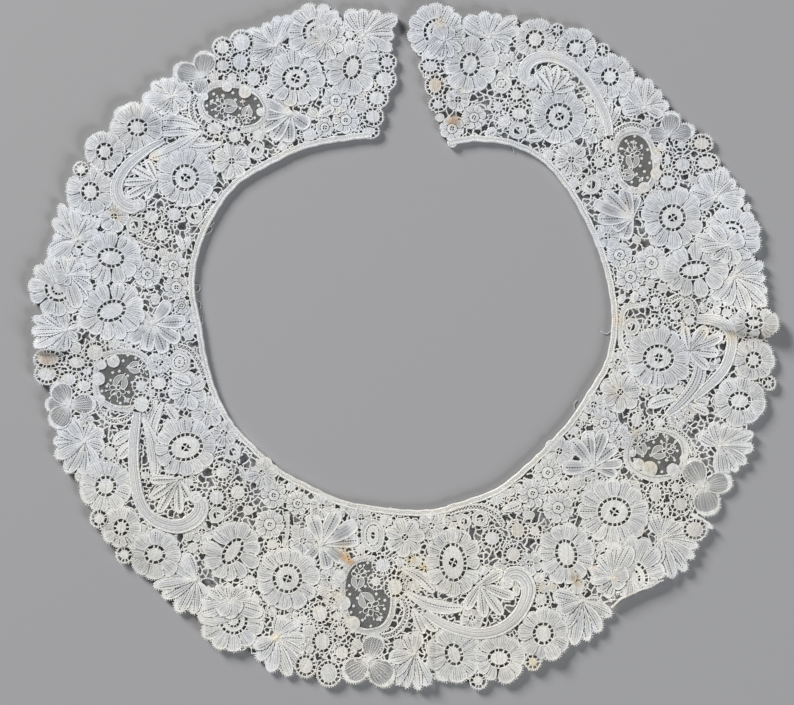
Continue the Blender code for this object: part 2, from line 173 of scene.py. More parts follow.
NET = np.array((0.160, 0.161, 0.158))      # the fine net of the insets
COOL = np.array((0.728, 0.762, 0.826))
WARM = np.array((0.832, 0.818, 0.766))
# soft cream patches that age has left, strewn over the lower half and the right side
_x, _y = rng.uniform(20, 790, 260), rng.uniform(10, 700, 260)
_k = rng.uniform(0, 1, 260) < 0.25 + 0.75 * ((_y > 400) | ((_x > 560) & (_y > 240)))
PATCHES = np.stack([_x, _y, rng.uniform(3.5, 11, 260), rng.uniform(0.08, 0.34, 260)], axis=1)[_k]


# painted light and shade: broad places where the lace is drawn a little lighter or duller, as the light falls across
# it: across, down, radius, by how much
PAINTED_LIGHT_POOLS = [(745, 255, 75, 0.07), (540, 70, 95, -0.025), (150, 560, 110, -0.045), (60, 330, 90, -0.025)]


def thread_colour(x, y, tone, warm, groove):
    tone = np.clip(tone, 0.0, 1.15)[:, None]
    # painted light and shade: the lace is drawn lighter or duller over broad places, as light falls on it
    for wx, wy, wr, k in PAINTED_LIGHT_POOLS:
        tone = tone * (1 + k * np.exp(-((x - wx) ** 2 + (y - wy) ** 2) / wr ** 2))[:, None]
    drift = 0.12 * np.sin(x / 27.0 + 1.3) * np.sin(y / 33.0 + 0.4) + 0.09 * np.sin(x / 11.0 - y / 13.0) \
        + 0.10 * np.sin(x / 4.1 + 1.7 * np.sin(y / 6.3)) * np.sin(y / 3.7 + 1.9 * np.sin(x / 7.1))
    side = smooth((x - 430.0) / 140.0)
    aged = 0.24 * smooth((y - 240.0) / 60.0) * side + (0.50 - 0.26 * side) * smooth((y - 400.0) / 130.0)
    warm = np.clip(0.10 + 0.75 * warm + drift + aged - 0.04, 0.0, 1.25)[:, None]
    col = groove + (COOL + (WARM - COOL) * warm - groove) * tone
    level = col.mean(axis=1, keepdims=True) / 0.78
    for px, py, pr, strength in PATCHES:
        near = np.nonzero((np.abs(x - px) < 1.3 * pr) & (np.abs(y - py) < 1.3 * pr))[0]
        d = np.hypot(x[near] - px, y[near] - py) / pr * (1 + 0.25 * np.sin(x[near] * 0.9) * np.sin(y[near] * 0.8))
        k = (strength * smooth(1.25 - d))[:, None]
        col[near] = col[near] * (1 - k) + np.array((0.82, 0.765, 0.64)) * level[near] * k
    # stains; those by the pleats and the upper-left fold are partly or wholly painted shadow
    for sx, sy, r, strength, c in STAINS_AND_FOLD_SHADOWS:
        d = np.hypot(x - sx, y - sy) / r * (1 + 0.30 * np.sin(x * 0.8 + 1.0) * np.sin(y * 0.7))
        k = (strength * smooth(1.25 - d))[:, None]
        col = col * (1 - k) + np.array(c) * level * k
    return np.clip(col, 0.0, 1.0)


# ------------------------------------------------------------------ mesh collecting
class Piece:
    """Points (across, down, height in mm), tone and warmth, and faces of one object."""

    def __init__(self):
        self.points, self.tones, self.warms, self.quads, self.tris, self.count = [], [], [], [], [], 0
        self.cords = None
        self.groove = GROOVE

    def add(self, pts, tone, warm, quads=None, tris=None, clip=None):
        pts = np.asarray(pts, float)
        n = len(pts)
        if clip is not None and quads is not None and len(quads):
            c = pts[np.asarray(quads)][:, :, :2].mean(axis=1)
            quads = np.asarray(quads)[~taken_at(clip, c)]
        self.points.append(pts)
        self.tones.append(np.broadcast_to(np.asarray(tone, float), (n,)))
        self.warms.append(np.broadcast_to(np.asarray(warm, float), (n,)))
        if quads is not None and len(quads):
            self.quads.append(np.asarray(quads) + self.count)
        if tris is not None and len(tris):
            self.tris.append(np.asarray(tris) + self.count)
        self.count += n

    def triangles(self):
        return 2 * sum(len(q) for q in self.quads) + sum(len(t) for t in self.tris)

    def build(self, name, material):
        p = np.concatenate(self.points)
        tone, warm = np.concatenate(self.tones), np.concatenate(self.warms)
        quads = np.concatenate(self.quads) if self.quads else np.zeros((0, 4), int)
        tris = np.concatenate(self.tris) if self.tris else np.zeros((0, 3), int)
        used = np.zeros(len(p), bool)
        used[quads.ravel()] = True
        used[tris.ravel()] = True
        number = np.cumsum(used) - 1
        p, tone, warm, quads, tris = p[used], tone[used], warm[used], number[quads], number[tris]
        z = (p[:, 2] + LOFT * (p[:, 2] > 0.33)) * MM + lift(p[:, 0], p[:, 1])
        co = np.stack([(p[:, 0] - MIDDLE[0]) * STEP, (MIDDLE[1] - p[:, 1]) * STEP, z], axis=1)
        # every face looks up
        n = np.cross(co[quads[:, 2]] - co[quads[:, 0]], co[quads[:, 3]] - co[quads[:, 1]])
        quads[n[:, 2] < 0] = quads[n[:, 2] < 0][:, ::-1]
        n = np.cross(co[tris[:, 1]] - co[tris[:, 0]], co[tris[:, 2]] - co[tris[:, 0]])
        tris[n[:, 2] < 0] = tris[n[:, 2] < 0][:, ::-1]
        loops = np.concatenate([quads.ravel(), tris.ravel()]).astype(np.int32)
        starts = np.concatenate([np.arange(len(quads)) * 4,
                                 len(quads) * 4 + np.arange(len(tris)) * 3]).astype(np.int32)
        mesh = bpy.data.meshes.new(name)
        mesh.vertices.add(len(co))
        mesh.vertices.foreach_set("co", co.astype(np.float32).ravel())
        mesh.loops.add(len(loops))
        mesh.loops.foreach_set("vertex_index", loops)
        mesh.polygons.add(len(starts))
        mesh.polygons.foreach_set("loop_start", starts)
        mesh.update(calc_edges=True)
        mesh.validate()
        mesh.polygons.foreach_set("use_smooth", np.ones(len(mesh.polygons), bool))
        col = np.ones((len(co), 4), np.float32)
        col[:, :3] = thread_colour(p[:, 0], p[:, 1], tone, warm, self.groove)
        attribute = mesh.color_attributes.new("thread", "FLOAT_COLOR", "POINT")
        attribute.data.foreach_set("color", col.ravel())
        mesh.materials.append(material)
        obj = bpy.data.objects.new(name, mesh)
        bpy.context.collection.objects.link(obj)
        return obj


SECTOR_ENDS = [90.0, 20.0, -50.0, -125.0, -198.0, -271.0]
SECTORS = [Piece() for _ in range(5)]
for _s in SECTORS:
    _s.cords = Piece()          # the outline cords of that stretch


def sector(x, y):
    b = float(polar(x, y)[0])
    for k in range(5):
        if b > SECTOR_ENDS[k + 1]:
            return SECTORS[k]
    return SECTORS[4]


# A fine map of what the motifs cover, used to find the gaps that the bars cross.
MAP_K = 2
MAP_W, MAP_H = 800 * MAP_K, 710 * MAP_K
covered = np.zeros((MAP_H, MAP_W), bool)
under = covered.copy()          # what earlier motifs cover, when a new motif starts


def begin():
    """A new motif starts: it is tucked under all that is there already."""
    global under
    under = covered.copy()


def taken_at(grid, c):
    i = np.clip((c[:, 1] * MAP_K).astype(int), 0, MAP_H - 1)
    j = np.clip((c[:, 0] * MAP_K).astype(int), 0, MAP_W - 1)
    return grid[i, j]


def cover_polygon(pts):
    """Marks a convex-ish polygon, given as table places, on the map."""
    pts = np.asarray(pts) * MAP_K
    x0, y0 = np.floor(pts.min(0)).astype(int)
    x1, y1 = np.ceil(pts.max(0)).astype(int)
    x0, y0, x1, y1 = max(x0, 0), max(y0, 0), min(x1, MAP_W - 1), min(y1, MAP_H - 1)
    if x1 <= x0 or y1 <= y0:
        return
    gx, gy = np.meshgrid(np.arange(x0, x1 + 1), np.arange(y0, y1 + 1))
    odd = np.zeros(gx.shape, bool)
    q = np.roll(pts, -1, axis=0)
    for (ax, ay), (bx, by) in zip(pts, q):
        if ay == by:
            continue
        hit = ((ay > gy) != (by > gy)) & (gx < (bx - ax) * (gy - ay) / (by - ay) + ax)
        odd ^= hit
    covered[y0:y1 + 1, x0:x1 + 1] |= odd


def cover_disc(x, y, rx, ry=None, rot=0.0):
    a = np.linspace(0, 2 * np.pi, 28, endpoint=False)
    cover_polygon(ellipse_points(x, y, rx, ry or rx, rot, a))


def ellipse_points(x, y, rx, ry, rot, a):
    t = math.radians(rot)
    px, py = rx * np.cos(a), ry * np.sin(a)
    return np.stack([x + px * math.cos(t) - py * math.sin(t),
                     y - px * math.sin(t) - py * math.cos(t)], axis=-1)


# ------------------------------------------------------------------ building blocks
def grid_faces(rows, cols, skip=None):
    i, j = np.meshgrid(np.arange(rows - 1), np.arange(cols - 1), indexing="ij")
    a = i * cols + j
    q = np.stack([a, a + cols, a + cols + 1, a + 1], axis=-1)
    if skip is not None:
        q = q[~skip]
    return q.reshape(-1, 4)


def columns(ribs, dotted=(), half=6.0):
    """Places across a leaf or braid, from -1 to 1: (v, kind), with kind 2 rib, 3 groove, and 4 and 5 the
    two sides of a row of pinholes."""
    out = [(-1.0, 3)]
    for k in range(ribs):
        if k > 0:
            g = -1.0 + 2.0 * k / ribs
            if k in dotted:
                w = min(0.55 / half, 0.4 / ribs)
                out += [(g - w, 4), (g + w, 5)]
            else:
                out.append((g, 3))
        out.append((-1.0 + 2.0 * (k + 0.5) / ribs, 2))
    out.append((1.0, 3))
    v, kind = np.array([c[0] for c in out]), np.array([c[1] for c in out])
    sway = 0.28 / ribs * rng.uniform(-1, 1, len(v))
    sway[kind > 3] = 0.0
    sway[0] = sway[-1] = 0.0
    return v + sway, kind


def threads(kind):
    """How light each rib and groove is: no two are the same."""
    k = KIND_TONE[kind].copy()
    k = np.where(kind == 2, k * (1 + 0.05 * rng.standard_normal(len(k))), k)
    k = np.where(kind == 3, k * rng.uniform(0.62, 1.55, len(k)), k)
    k[0] = k[-1] = 0.90
    return k


KIND_Z = np.array([0.0, 0.0, 0.10, -0.10, -0.02, -0.02])
# the grooves and the sides of pinhole rows are drawn darker: partly the thinner thread there, partly painted shade
# where they lie lower
KIND_TONE = np.array([1.0, 1.0, 1.04, 0.41, 0.54, 0.54])
GROUND = 0.10


class Leaf:
    """The form of a petal or leaf: a stem that widens, then a round end."""

    def __init__(self, base, tip, w0, w1, um, bend=0.0, power=2.0):
        self.base, tip = np.asarray(base, float), np.asarray(tip, float)
        d = tip - self.base
        self.length = max(float(np.hypot(*d)), 0.5)
        self.d = d / self.length
        self.n = np.array([-self.d[1], self.d[0]])
        self.w0, self.w1, self.um, self.bend, self.power = w0, w1, um, bend, power

    def at(self, u, s):
        u, s = np.asarray(u, float), np.asarray(s, float)
        return self.base + (u * self.length)[..., None] * self.d + (4 * u * (1 - u) * self.bend + s)[..., None] * self.n

    def width(self, u):
        k = self.w0 / self.w1
        return self.w1 * (k + (1 - k) * np.sin(np.pi / 2 * np.clip(u / self.um, 0, 1)) ** 1.1)

    def end(self, v):
        return self.um + (1 - self.um) * np.maximum(1 - np.abs(v) ** self.power, 0) ** (1 / self.power)

    def outline(self, inset=0.0):
        m = max(3, int(self.length * self.um / 2.2))
        u = np.linspace(0.0, self.um, m + 1)
        a = np.radians(np.linspace(-90, 90, 9))[1:-1]
        v = np.sin(a)
        w = np.maximum(self.width(u) - inset, 0.1)
        left, right = self.at(u, -w), self.at(u, w)
        cap = self.at(self.end(v) - inset / self.length, v * (self.w1 - inset))
        return np.concatenate([left, cap, right[::-1]])


def lobe(base, tip, w0, w1, z0=0.72, dome=0.14, um=0.62, bend=0.0, ribs=None, dotted=(), warm=0.3, tone=1.0,
         relief=1.0, cord=0.60, pitch=1.3, tilt=0.0, cover=True, piece=None, rib_pitch=2.4, power=2.1, root=0.0,
         inner=1.0, sides=0.50, contrast=1.0):
    """A rounded petal or leaf from base to tip, with ribs, rows of pinholes and a soft raised edge."""
    leaf = Leaf(base, tip, w0, w1, um, bend, power)
    if leaf.length < 2.0:
        return
    half = max(w1 - 0.6 * cord, 0.5)
    ribs = ribs or max(2, int(round(2 * half / rib_pitch)))
    v, kind = columns(ribs, dotted, half)
    rows = max(4, int(round(leaf.length / pitch)) + 1)
    s = np.linspace(0, 1, rows)
    u = s[:, None] * leaf.end(v * 0.985)[None, :]
    xy = leaf.at(u, v[None, :] * leaf.width(u) * half / w1)
    dense = 0.80 * smooth((s - rng.uniform(0.68, 0.80)) / 0.16) \
        + (0.40 + 0.5 * root) * smooth((0.12 + 0.36 * root - s) / (0.10 + 0.22 * root))
    z = z0 + relief * KIND_Z[kind][None, :] * (1 - dense)[:, None] \
        + dome * (1 - v ** 2)[None, :] * np.sin(np.pi * np.clip(s, 0.05, 0.95))[:, None] + tilt * s[:, None]
    tn = tone * inner * (1 - contrast * (1 - threads(kind)))[None, :] + np.zeros_like(z)
    fade = np.where(kind == 3, 1 + 0.26 * np.sin(rng.uniform(0, 6.3, len(v))[None, :] + s[:, None] * 7.0), 1.0)
    thin = rng.uniform(0.0, 0.16) * np.exp(-((s - rng.uniform(0.4, 0.7)) / 0.22) ** 2)[:, None] \
        * np.exp(-((v - rng.uniform(-0.5, 0.5)) / 0.6) ** 2)[None, :]
    tn = tn * fade * (0.95 + 0.08 * s)[:, None] * (1 - thin)
    tn = (tn + (tone - tn) * np.clip(dense, 0, 1)[:, None]) * (1 + 0.08 * rng.standard_normal(tn.shape))
    skip = np.zeros((rows - 1, len(v) - 1), bool)
    for j in np.where((kind[:-1] == 4) & (kind[1:] == 5))[0]:
        skip[2:-2:2, j] = True
    target = piece or sector(*((leaf.base + np.asarray(tip, float)) / 2))
    clip = covered.copy() if cover else None
    w = warm + np.clip(0.5 - 1.6 * s, 0, 1)[:, None] * root + np.zeros_like(z)
    target.add(np.concatenate([xy, z[..., None]], axis=-1).reshape(-1, 3), tn.ravel(), w.ravel(),
               grid_faces(rows, len(v), skip), clip=clip)
    path = leaf.outline(0.45 * cord)
    path = path + 0.12 * rng.standard_normal(path.shape)
    side = (len(path) - 7) // 2
    round_ = np.concatenate([np.linspace(0, 1, side), np.ones(7), np.linspace(1, 0, side)]) ** 1.5
    up = np.concatenate([np.linspace(0, 1, (len(path) + 1) // 2), np.linspace(1, 0, len(path) // 2)])
    # painted shade: the rim's skirt is drawn darker at its foot, most round the end
    cord_line(path, half=cord * (sides + (1.0 - sides) * round_), z0=z0 + tilt * up, high=0.03 + 0.06 * round_,
              tone=tone * (0.92 + 0.11 * round_), warm=warm + 0.1, piece=target, skirt=True, clip=clip,
              painted_foot_shade=0.72 - 0.36 * round_)
    if cover:
        cover_polygon(leaf.outline(-0.3))


def net_lobe(base, tip, w0, w1, z0=0.62, um=0.6, warm=0.3, tone=0.63, veins=5, piece=None, cord=0.62, power=2.3,
             cell=0.95, bend=0.0, gaps=1.0):
    """A wide leaf of open half stitch: a fine net, thin veins from the eye and a whiter rim."""
    leaf = Leaf(base, tip, w0, w1, um, bend, power)
    target = piece or sector(*((leaf.base + np.asarray(tip, float)) / 2))
    cols, rows = max(5, int(2 * w1 / cell)), max(5, int(leaf.length / cell))
    v = np.linspace(-0.96, 0.96, cols)
    s = np.linspace(0.02, 0.985, rows)
    u = s[:, None] * leaf.end(v)[None, :]
    xy = leaf.at(u, v[None, :] * leaf.width(u))
    z = z0 + 0.12 * (1 - v ** 2)[None, :] * np.sin(np.pi * s)[:, None]
    i, j = np.meshgrid(np.arange(rows - 1), np.arange(cols - 1), indexing="ij")
    skip = ((i + j) % 2 == 0) & (s[:-1][:, None] > 0.20) & (s[:-1][:, None] < 0.84)
    skip &= rng.random(skip.shape) < gaps
    clip = covered.copy()
    tn = tone + 0.36 * smooth((s[:, None] - 0.70) / 0.2) + 0.22 * smooth((0.34 - s[:, None]) / 0.25) \
        + 0.10 * np.sin(v * 9.0 + rng.uniform(0, 6.3))[None, :] + np.zeros_like(z)
    target.add(np.concatenate([xy, z[..., None]], axis=-1).reshape(-1, 3),
               (tn * (1 + 0.07 * rng.standard_normal(z.shape))).ravel(), warm, grid_faces(rows, cols, skip), clip=clip)
    for k in range(veins):
        vv = -0.72 + 1.44 * k / max(1, veins - 1)
        far = float(leaf.end(np.array(vv))) * rng.uniform(0.62, 0.95)
        uu = np.linspace(0.0, far, 7)
        cord_line(leaf.at(uu, vv * np.minimum(w1 * (uu / um) ** 0.8, leaf.width(uu))), half=np.linspace(0.50, 0.22, 7) * rng.uniform(0.6, 1.2),
                  z0=z0 + 0.08, high=0.08, tone=0.96, warm=warm, piece=target, pitch=2.0, clip=clip)
    cord_line(leaf.outline(0.4), half=cord, z0=z0, high=0.10, tone=1.0, warm=warm + 0.15, piece=target, skirt=True,
              clip=clip)
    cover_polygon(leaf.outline(-0.3))


def resample(path, halves, pitch, closed=False):
    """Catmull-Rom curve through the path, at an even spacing."""
    p = path
    if closed:
        q = np.concatenate([p[-1:], p, p[:2]])
        h = np.concatenate([halves[-1:], halves, halves[:2]])
    else:
        q = np.concatenate([2 * p[:1] - p[1:2], p, 2 * p[-1:] - p[-2:-1]])
        h = np.concatenate([halves[:1], halves, halves[-1:]])
    n = len(q) - 3
    t = np.linspace(0, 1, 5)[:-1][None, :, None]
    a, b, c, d = (q[i:i + n][:, None, :] for i in range(4))
    out = (b + 0.5 * t * (c - a + t * (2 * a - 5 * b + 4 * c - d + t * (3 * (b - c) + d - a)))).reshape(-1, p.shape[1])
    hw = (h[1:1 + n][:, None] + (h[2:2 + n] - h[1:1 + n])[:, None] * smooth(t[..., 0])).reshape(-1)
    out = np.concatenate([out, q[1:2] if closed else q[-2:-1]])
    hw = np.concatenate([hw, h[1:2] if closed else h[-2:-1]])
    s = np.concatenate([[0], np.cumsum(np.hypot(*np.diff(out[:, :2], axis=0).T))])
    m = max(3, int(round(s[-1] / pitch)) + 1)
    g = np.linspace(0, s[-1], m)
    pts = np.stack([np.interp(g, s, out[:, k]) for k in range(out.shape[1])], axis=1)
    w = np.interp(g, s, hw)
    return (pts[:-1], w[:-1]) if closed else (pts, w)


def normals(pts, closed):
    d = (np.roll(pts, -1, 0) - np.roll(pts, 1, 0)) if closed else np.gradient(pts, axis=0)
    d = d / np.maximum(np.hypot(d[:, 0], d[:, 1]), 1e-9)[:, None]
    return np.stack([-d[:, 1], d[:, 0]], axis=1)


def cord_line(path, half=0.7, z0=0.5, high=0.2, tone=1.0, warm=0.6, pitch=1.6, piece=None, closed=False,
              twist=0.0, skirt=False, clip=None, painted_foot_shade=None):
    """A single round cord, as the upper half of a tube; with skirt its sides reach down to the ground. Its
    half width, height, lightness and painted foot shade are numbers, or one number for each point of the path; the foot
    shade paints its sides, and a skirt's feet most, darker as shade."""
    path = np.asarray(path, float)
    # painted shade: the cord's sides, and a skirt's feet most, are drawn darker where they meet the ground
    painted_foot_shade = (0.38 if skirt else 0.60) if painted_foot_shade is None else painted_foot_shade
    rest = [np.broadcast_to(np.asarray(k, float), (len(path),)) for k in (z0, high, tone, painted_foot_shade)]
    halves = np.broadcast_to(np.asarray(half, float), (len(path),)).astype(float)
    if len(path) > 2:
        pts, hw = resample(np.column_stack([path, *rest]), halves, pitch, closed)
    else:
        t = np.linspace(0, 1, max(2, int(np.hypot(*(path[-1] - path[0])) / pitch) + 1))[:, None]
        ends = np.column_stack([path, *rest])
        pts, hw = ends[0] + (ends[-1] - ends[0]) * t, halves[0] + (halves[-1] - halves[0]) * t[:, 0]
    xy0, zc, hc, tc, side_shade = pts[:, :2], pts[:, 2], pts[:, 3], pts[:, 4], pts[:, 5]
    n = normals(xy0, closed)
    v = np.array([-1.2, -0.7, 0.0, 0.7, 1.2]) if skirt else np.array([-1, -0.62, 0.0, 0.62, 1])
    hz = np.array([0.0, 0.70, 1.0, 0.70, 0.0])
    xy = xy0[:, None, :] + hw[:, None, None] * v[None, :, None] * n[:, None, :]
    z = zc[:, None] + hc[:, None] * hz[None, :]
    if skirt:
        z[:, 0] = z[:, -1] = np.minimum(GROUND, zc - 0.1)
    if twist:
        z = z + twist * np.sin(np.arange(len(pts)) * 2.1)[:, None] * (hz > 0)[None, :]
    # painted highlight and shade: lighter along the crest, darker down the sides
    tn = tc[:, None] * np.stack([side_shade, 0.97 + 0 * side_shade, 1.02 + 0 * side_shade, 0.97 + 0 * side_shade, side_shade], axis=1) \
        * (1 + 0.07 * rng.standard_normal((len(pts), 1)))
    if closed:
        xy = np.concatenate([xy, xy[:1]]); z = np.concatenate([z, z[:1]]); tn = np.concatenate([tn, tn[:1]])
    rows, cols = z.shape
    target = piece or sector(*xy0[len(xy0) // 2])
    (target.cords or target).add(
        np.concatenate([xy, z[..., None]], axis=-1).reshape(-1, 3), tn.ravel(), warm, grid_faces(rows, cols),
        clip=clip)


def strip(path, half, z0=0.72, ribs=4, dotted=(), warm=0.5, tone=1.0, relief=1.0, cord=0.8, pitch=1.3,
          dome=0.0, cover=True, piece=None, closed=False, rim=0.12):
    """A ribbed band along a smooth path, with a cord along both edges."""
    path = np.asarray(path, float)
    halves = np.broadcast_to(np.asarray(half, float), (len(path),)).astype(float)
    pts, hw = resample(path, halves, pitch, closed)
    n = normals(pts, closed)
    v, kind = columns(ribs, dotted, float(hw.max()))
    shade = threads(kind)
    w = np.maximum(hw - 0.6 * cord, 0.3)
    xy = pts[:, None, :] + (w[:, None] * v[None, :])[..., None] * n[:, None, :]
    z = z0 + relief * KIND_Z[kind][None, :] + dome * (1 - v ** 2)[None, :] + np.zeros((len(pts), 1))
    tn = tone * shade[None, :] * (1 + 0.06 * rng.standard_normal(z.shape))
    target = piece or sector(*pts[len(pts) // 2])
    if closed:
        xy = np.concatenate([xy, xy[:1]]); z = np.concatenate([z, z[:1]]); tn = np.concatenate([tn, tn[:1]])
    rows, cols = z.shape
    skip = np.zeros((rows - 1, cols - 1), bool)
    for j in np.where((kind[:-1] == 4) & (kind[1:] == 5))[0]:
        skip[2:-2:2, j] = True
    clip = under if cover else None
    target.add(np.concatenate([xy, z[..., None]], axis=-1).reshape(-1, 3), tn.ravel(), warm,
               grid_faces(rows, cols, skip), clip=clip)
    edge = np.maximum(hw - 0.45 * cord, 0.2)[:, None] * n
    if closed:
        cord_line(pts[::2] - edge[::2], half=cord, z0=z0, high=rim, tone=1.0 * tone, warm=warm + 0.1,
                  piece=target, closed=True, skirt=True, clip=clip)
        cord_line(pts[::2] + edge[::2], half=cord, z0=z0, high=rim, tone=1.0 * tone, warm=warm + 0.1,
                  piece=target, closed=True, skirt=True, clip=clip)
    else:
        ring = np.concatenate([pts[::2] - edge[::2], (pts[-1:] - edge[-1:]), (pts[-1:] + edge[-1:]), (pts[::2] + edge[::2])[::-1]])
        cord_line(ring, half=cord, z0=z0, high=rim, tone=1.0 * tone, warm=warm + 0.1, piece=target, skirt=True,
                  clip=clip)
    if cover:
        for i in range(0, rows - 1):
            cover_polygon([xy[i, 0], xy[i, -1], xy[i + 1, -1], xy[i + 1, 0]])


def bar(a, b, half=0.5, z0=0.34, high=0.26, tone=1.0, warm=0.55, piece=None, clip=None, point=1.0):
    """A short plaited bar between two places; point is how wide its far end is, set against its start."""
    a, b = np.asarray(a, float), np.asarray(b, float)
    d = b - a
    length = float(np.hypot(*d))
    if length < 0.3:
        return
    n = np.array([-d[1], d[0]]) * (half / length)
    pts = []
    for p in (a, b):
        n = n * (point if p is b else 1.0)
        pts += [(*(p - n), z0), (*(p - 0.3 * n), z0 + high), (*(p + 0.3 * n), z0 + high), (*(p + n), z0)]
    # painted highlight and shade: the bar's crest is drawn lighter and its low edges darker
    tn = tone * np.array([0.60, 1.03, 1.03, 0.60] * 2)
    (piece or sector(*((a + b) / 2))).add(pts, tn, warm, [(0, 4, 5, 1), (1, 5, 6, 2), (2, 6, 7, 3)], clip=clip)


def oval(x, y, rx, ry=None, rot=0.0, z0=0.7, dome=0.14, warm=0.4, tone=1.0, angle=0.0, piece=None, cover=True,
         rib_pitch=2.2, cord=0.55, relief=0.8, eye=0.0, edge=True, clean=False, four=None, contrast=0.76):
    """A small round or oval of cloth stitch: straight ribs, a rim cord and, with eye, an open middle."""
    ry = ry or rx
    target = piece or sector(x, y)
    ix, iy = rx - 0.55 * cord, ry - 0.55 * cord
    mean = (ix + iy) / 2
    clip = under if cover and piece is None else None
    if eye:
        segs = max(14, int(round(2 * math.pi * mean / 1.5)))
        rings = max(2, int(round((1 - eye) * mean / 1.25)))
        f = np.linspace(1.0, eye, rings + 1)
        a = np.arange(segs) * 2 * np.pi / segs
        xy = np.stack([ellipse_points(x, y, ix * g, iy * g, rot, a) for g in f])
        wave = np.where(np.arange(rings + 1) % 2 == 0, 0.76, 0.97)[:, None] * (1 + 0.05 * rng.standard_normal((rings + 1, segs)))
        z = z0 + relief * (wave - 0.76) * 0.2 + dome * 0.5
        xy = np.concatenate([xy, xy[:, :1]], axis=1)
        z = np.concatenate([z, z[:, :1]], axis=1)
        wave = np.concatenate([wave, wave[:, :1]], axis=1)
        target.add(np.concatenate([xy, z[..., None]], axis=-1).reshape(-1, 3), tone * wave.ravel(), warm,
                   grid_faces(rings + 1, segs + 1), clip=clip)
    else:
        ribs = max(2, int(round(2 * mean / rib_pitch)))
        v, kind = columns(ribs, (), mean)
        v = v * 0.985
        rows = max(4, int(round(2 * mean / 1.5)) + 1)
        s = np.linspace(-1, 1, rows)
        chord = np.sqrt(1 - v ** 2)
        t = math.radians(angle)
        lx = v[None, :] * math.cos(t) - s[:, None] * chord[None, :] * math.sin(t)
        ly = v[None, :] * math.sin(t) + s[:, None] * chord[None, :] * math.cos(t)
        px, py = ix * lx, iy * ly
        r = math.radians(rot)
        xy = np.stack([x + px * math.cos(r) - py * math.sin(r), y - px * math.sin(r) - py * math.cos(r)], axis=-1)
        rad = lx ** 2 + ly ** 2
        z = z0 + relief * KIND_Z[kind][None, :] * np.clip(3 * (1.05 - np.abs(s)), 0, 1)[:, None] + dome * (1 - rad)
        k = np.where(kind == 3, (contrast * rng.uniform(0.7, 1.25, len(kind))) if not clean else 0.92, 0.98)
        tn = tone * k[None, :] * (1 + 0.08 * rng.standard_normal(z.shape))
        faces = grid_faces(rows, len(v))
        if four is not None:
            c = xy.reshape(-1, 2)[faces].mean(axis=1) - (x, y)
            rad, ang = np.hypot(c[:, 0], c[:, 1]), np.degrees(np.arctan2(-c[:, 1], c[:, 0])) - four
            hole = (rad > 0.9) & (rad < 4.3) & (np.abs((ang % 90) - 45) < 36)
            faces = faces[~hole]
        target.add(np.concatenate([xy, z[..., None]], axis=-1).reshape(-1, 3), tn.ravel(), warm, faces, clip=clip)
    if edge:
        a = np.linspace(0, 2 * np.pi, 14 if mean > 3 else 8, endpoint=False)
        cord_line(ellipse_points(x, y, rx - 0.5 * cord, ry - 0.5 * cord, rot, a), half=cord, z0=z0, high=0.07,
                  closed=True, warm=warm + 0.1, tone=0.98 * tone, piece=target, skirt=True, pitch=1.5, clip=clip)
    if cover:
        cover_disc(x, y, rx, ry, rot)


def ladder(x, y, rx, ry, rot, inside=1.5, outside=1.5, spacing=4.0, half=0.5, z=0.45, arc=None, warm=0.6):
    """Bars across a ring of holes."""
    around = math.pi * (3 * (rx + ry) - math.sqrt((3 * rx + ry) * (rx + 3 * ry)))
    n = max(7, int(round(around / spacing)))
    # even steps along the ellipse
    a = np.linspace(0, 2 * np.pi, 721)
    p = ellipse_points(0, 0, rx, ry, 0, a)
    s = np.concatenate([[0], np.cumsum(np.hypot(*np.diff(p, axis=0).T))])
    for k in range(n):
        g = (k + 0.13 * rng.standard_normal()) / n * s[-1]
        ang = float(np.interp(g % s[-1], s, a))
        if arc is not None:
            deg = math.degrees(ang) % 360
            if not ((deg - arc[0]) % 360 <= (arc[1] - arc[0]) % 360):
                continue
        q0 = ellipse_points(x, y, rx - inside - 0.4, ry - inside - 0.4, rot, np.array([ang]))[0]
        q1 = ellipse_points(x, y, rx + outside + 0.4, ry + outside + 0.4, rot,
                            np.array([ang + 0.5 * rng.standard_normal() / max(rx, 4)]))[0]
        bar(q0, q1, half=half * rng.uniform(0.75, 1.45), z0=z - 0.05, high=0.22, tone=1.0, warm=warm, clip=under)


def arc_cord(x, y, rx, ry, rot, arc=None, half=0.6, z0=0.68, warm=0.55):
    if arc is None:
        a = np.linspace(0, 2 * np.pi, 18, endpoint=False)
    else:
        span = (arc[1] - arc[0]) % 360
        a = np.radians(arc[0] + np.linspace(0, span, max(5, int(span / 18))))
    cord_line(ellipse_points(x, y, rx, ry, rot, a), half=half, z0=z0, high=0.14, closed=arc is None, warm=warm,
              tone=1.02, skirt=True, pitch=1.5, clip=under)


def middle(cx, cy, rx, ry, rot, warm, four):
    """The cloth centre of a flower, whole or with four holes round a knot."""
    turn = rng.uniform(0, 90)
    oval(cx, cy, rx, ry, rot, z0=0.66, dome=0.16, warm=warm, angle=rng.uniform(-25, 25), tone=0.98,
         four=turn if four else None)
    if four:
        for m in range(4):
            a = math.radians(turn + 90 * m)
            bar((cx, cy), (cx + 4.8 * math.cos(a), cy - 4.8 * math.sin(a)), half=0.6, z0=0.60, high=0.22, tone=1.0,
                warm=warm + 0.2)


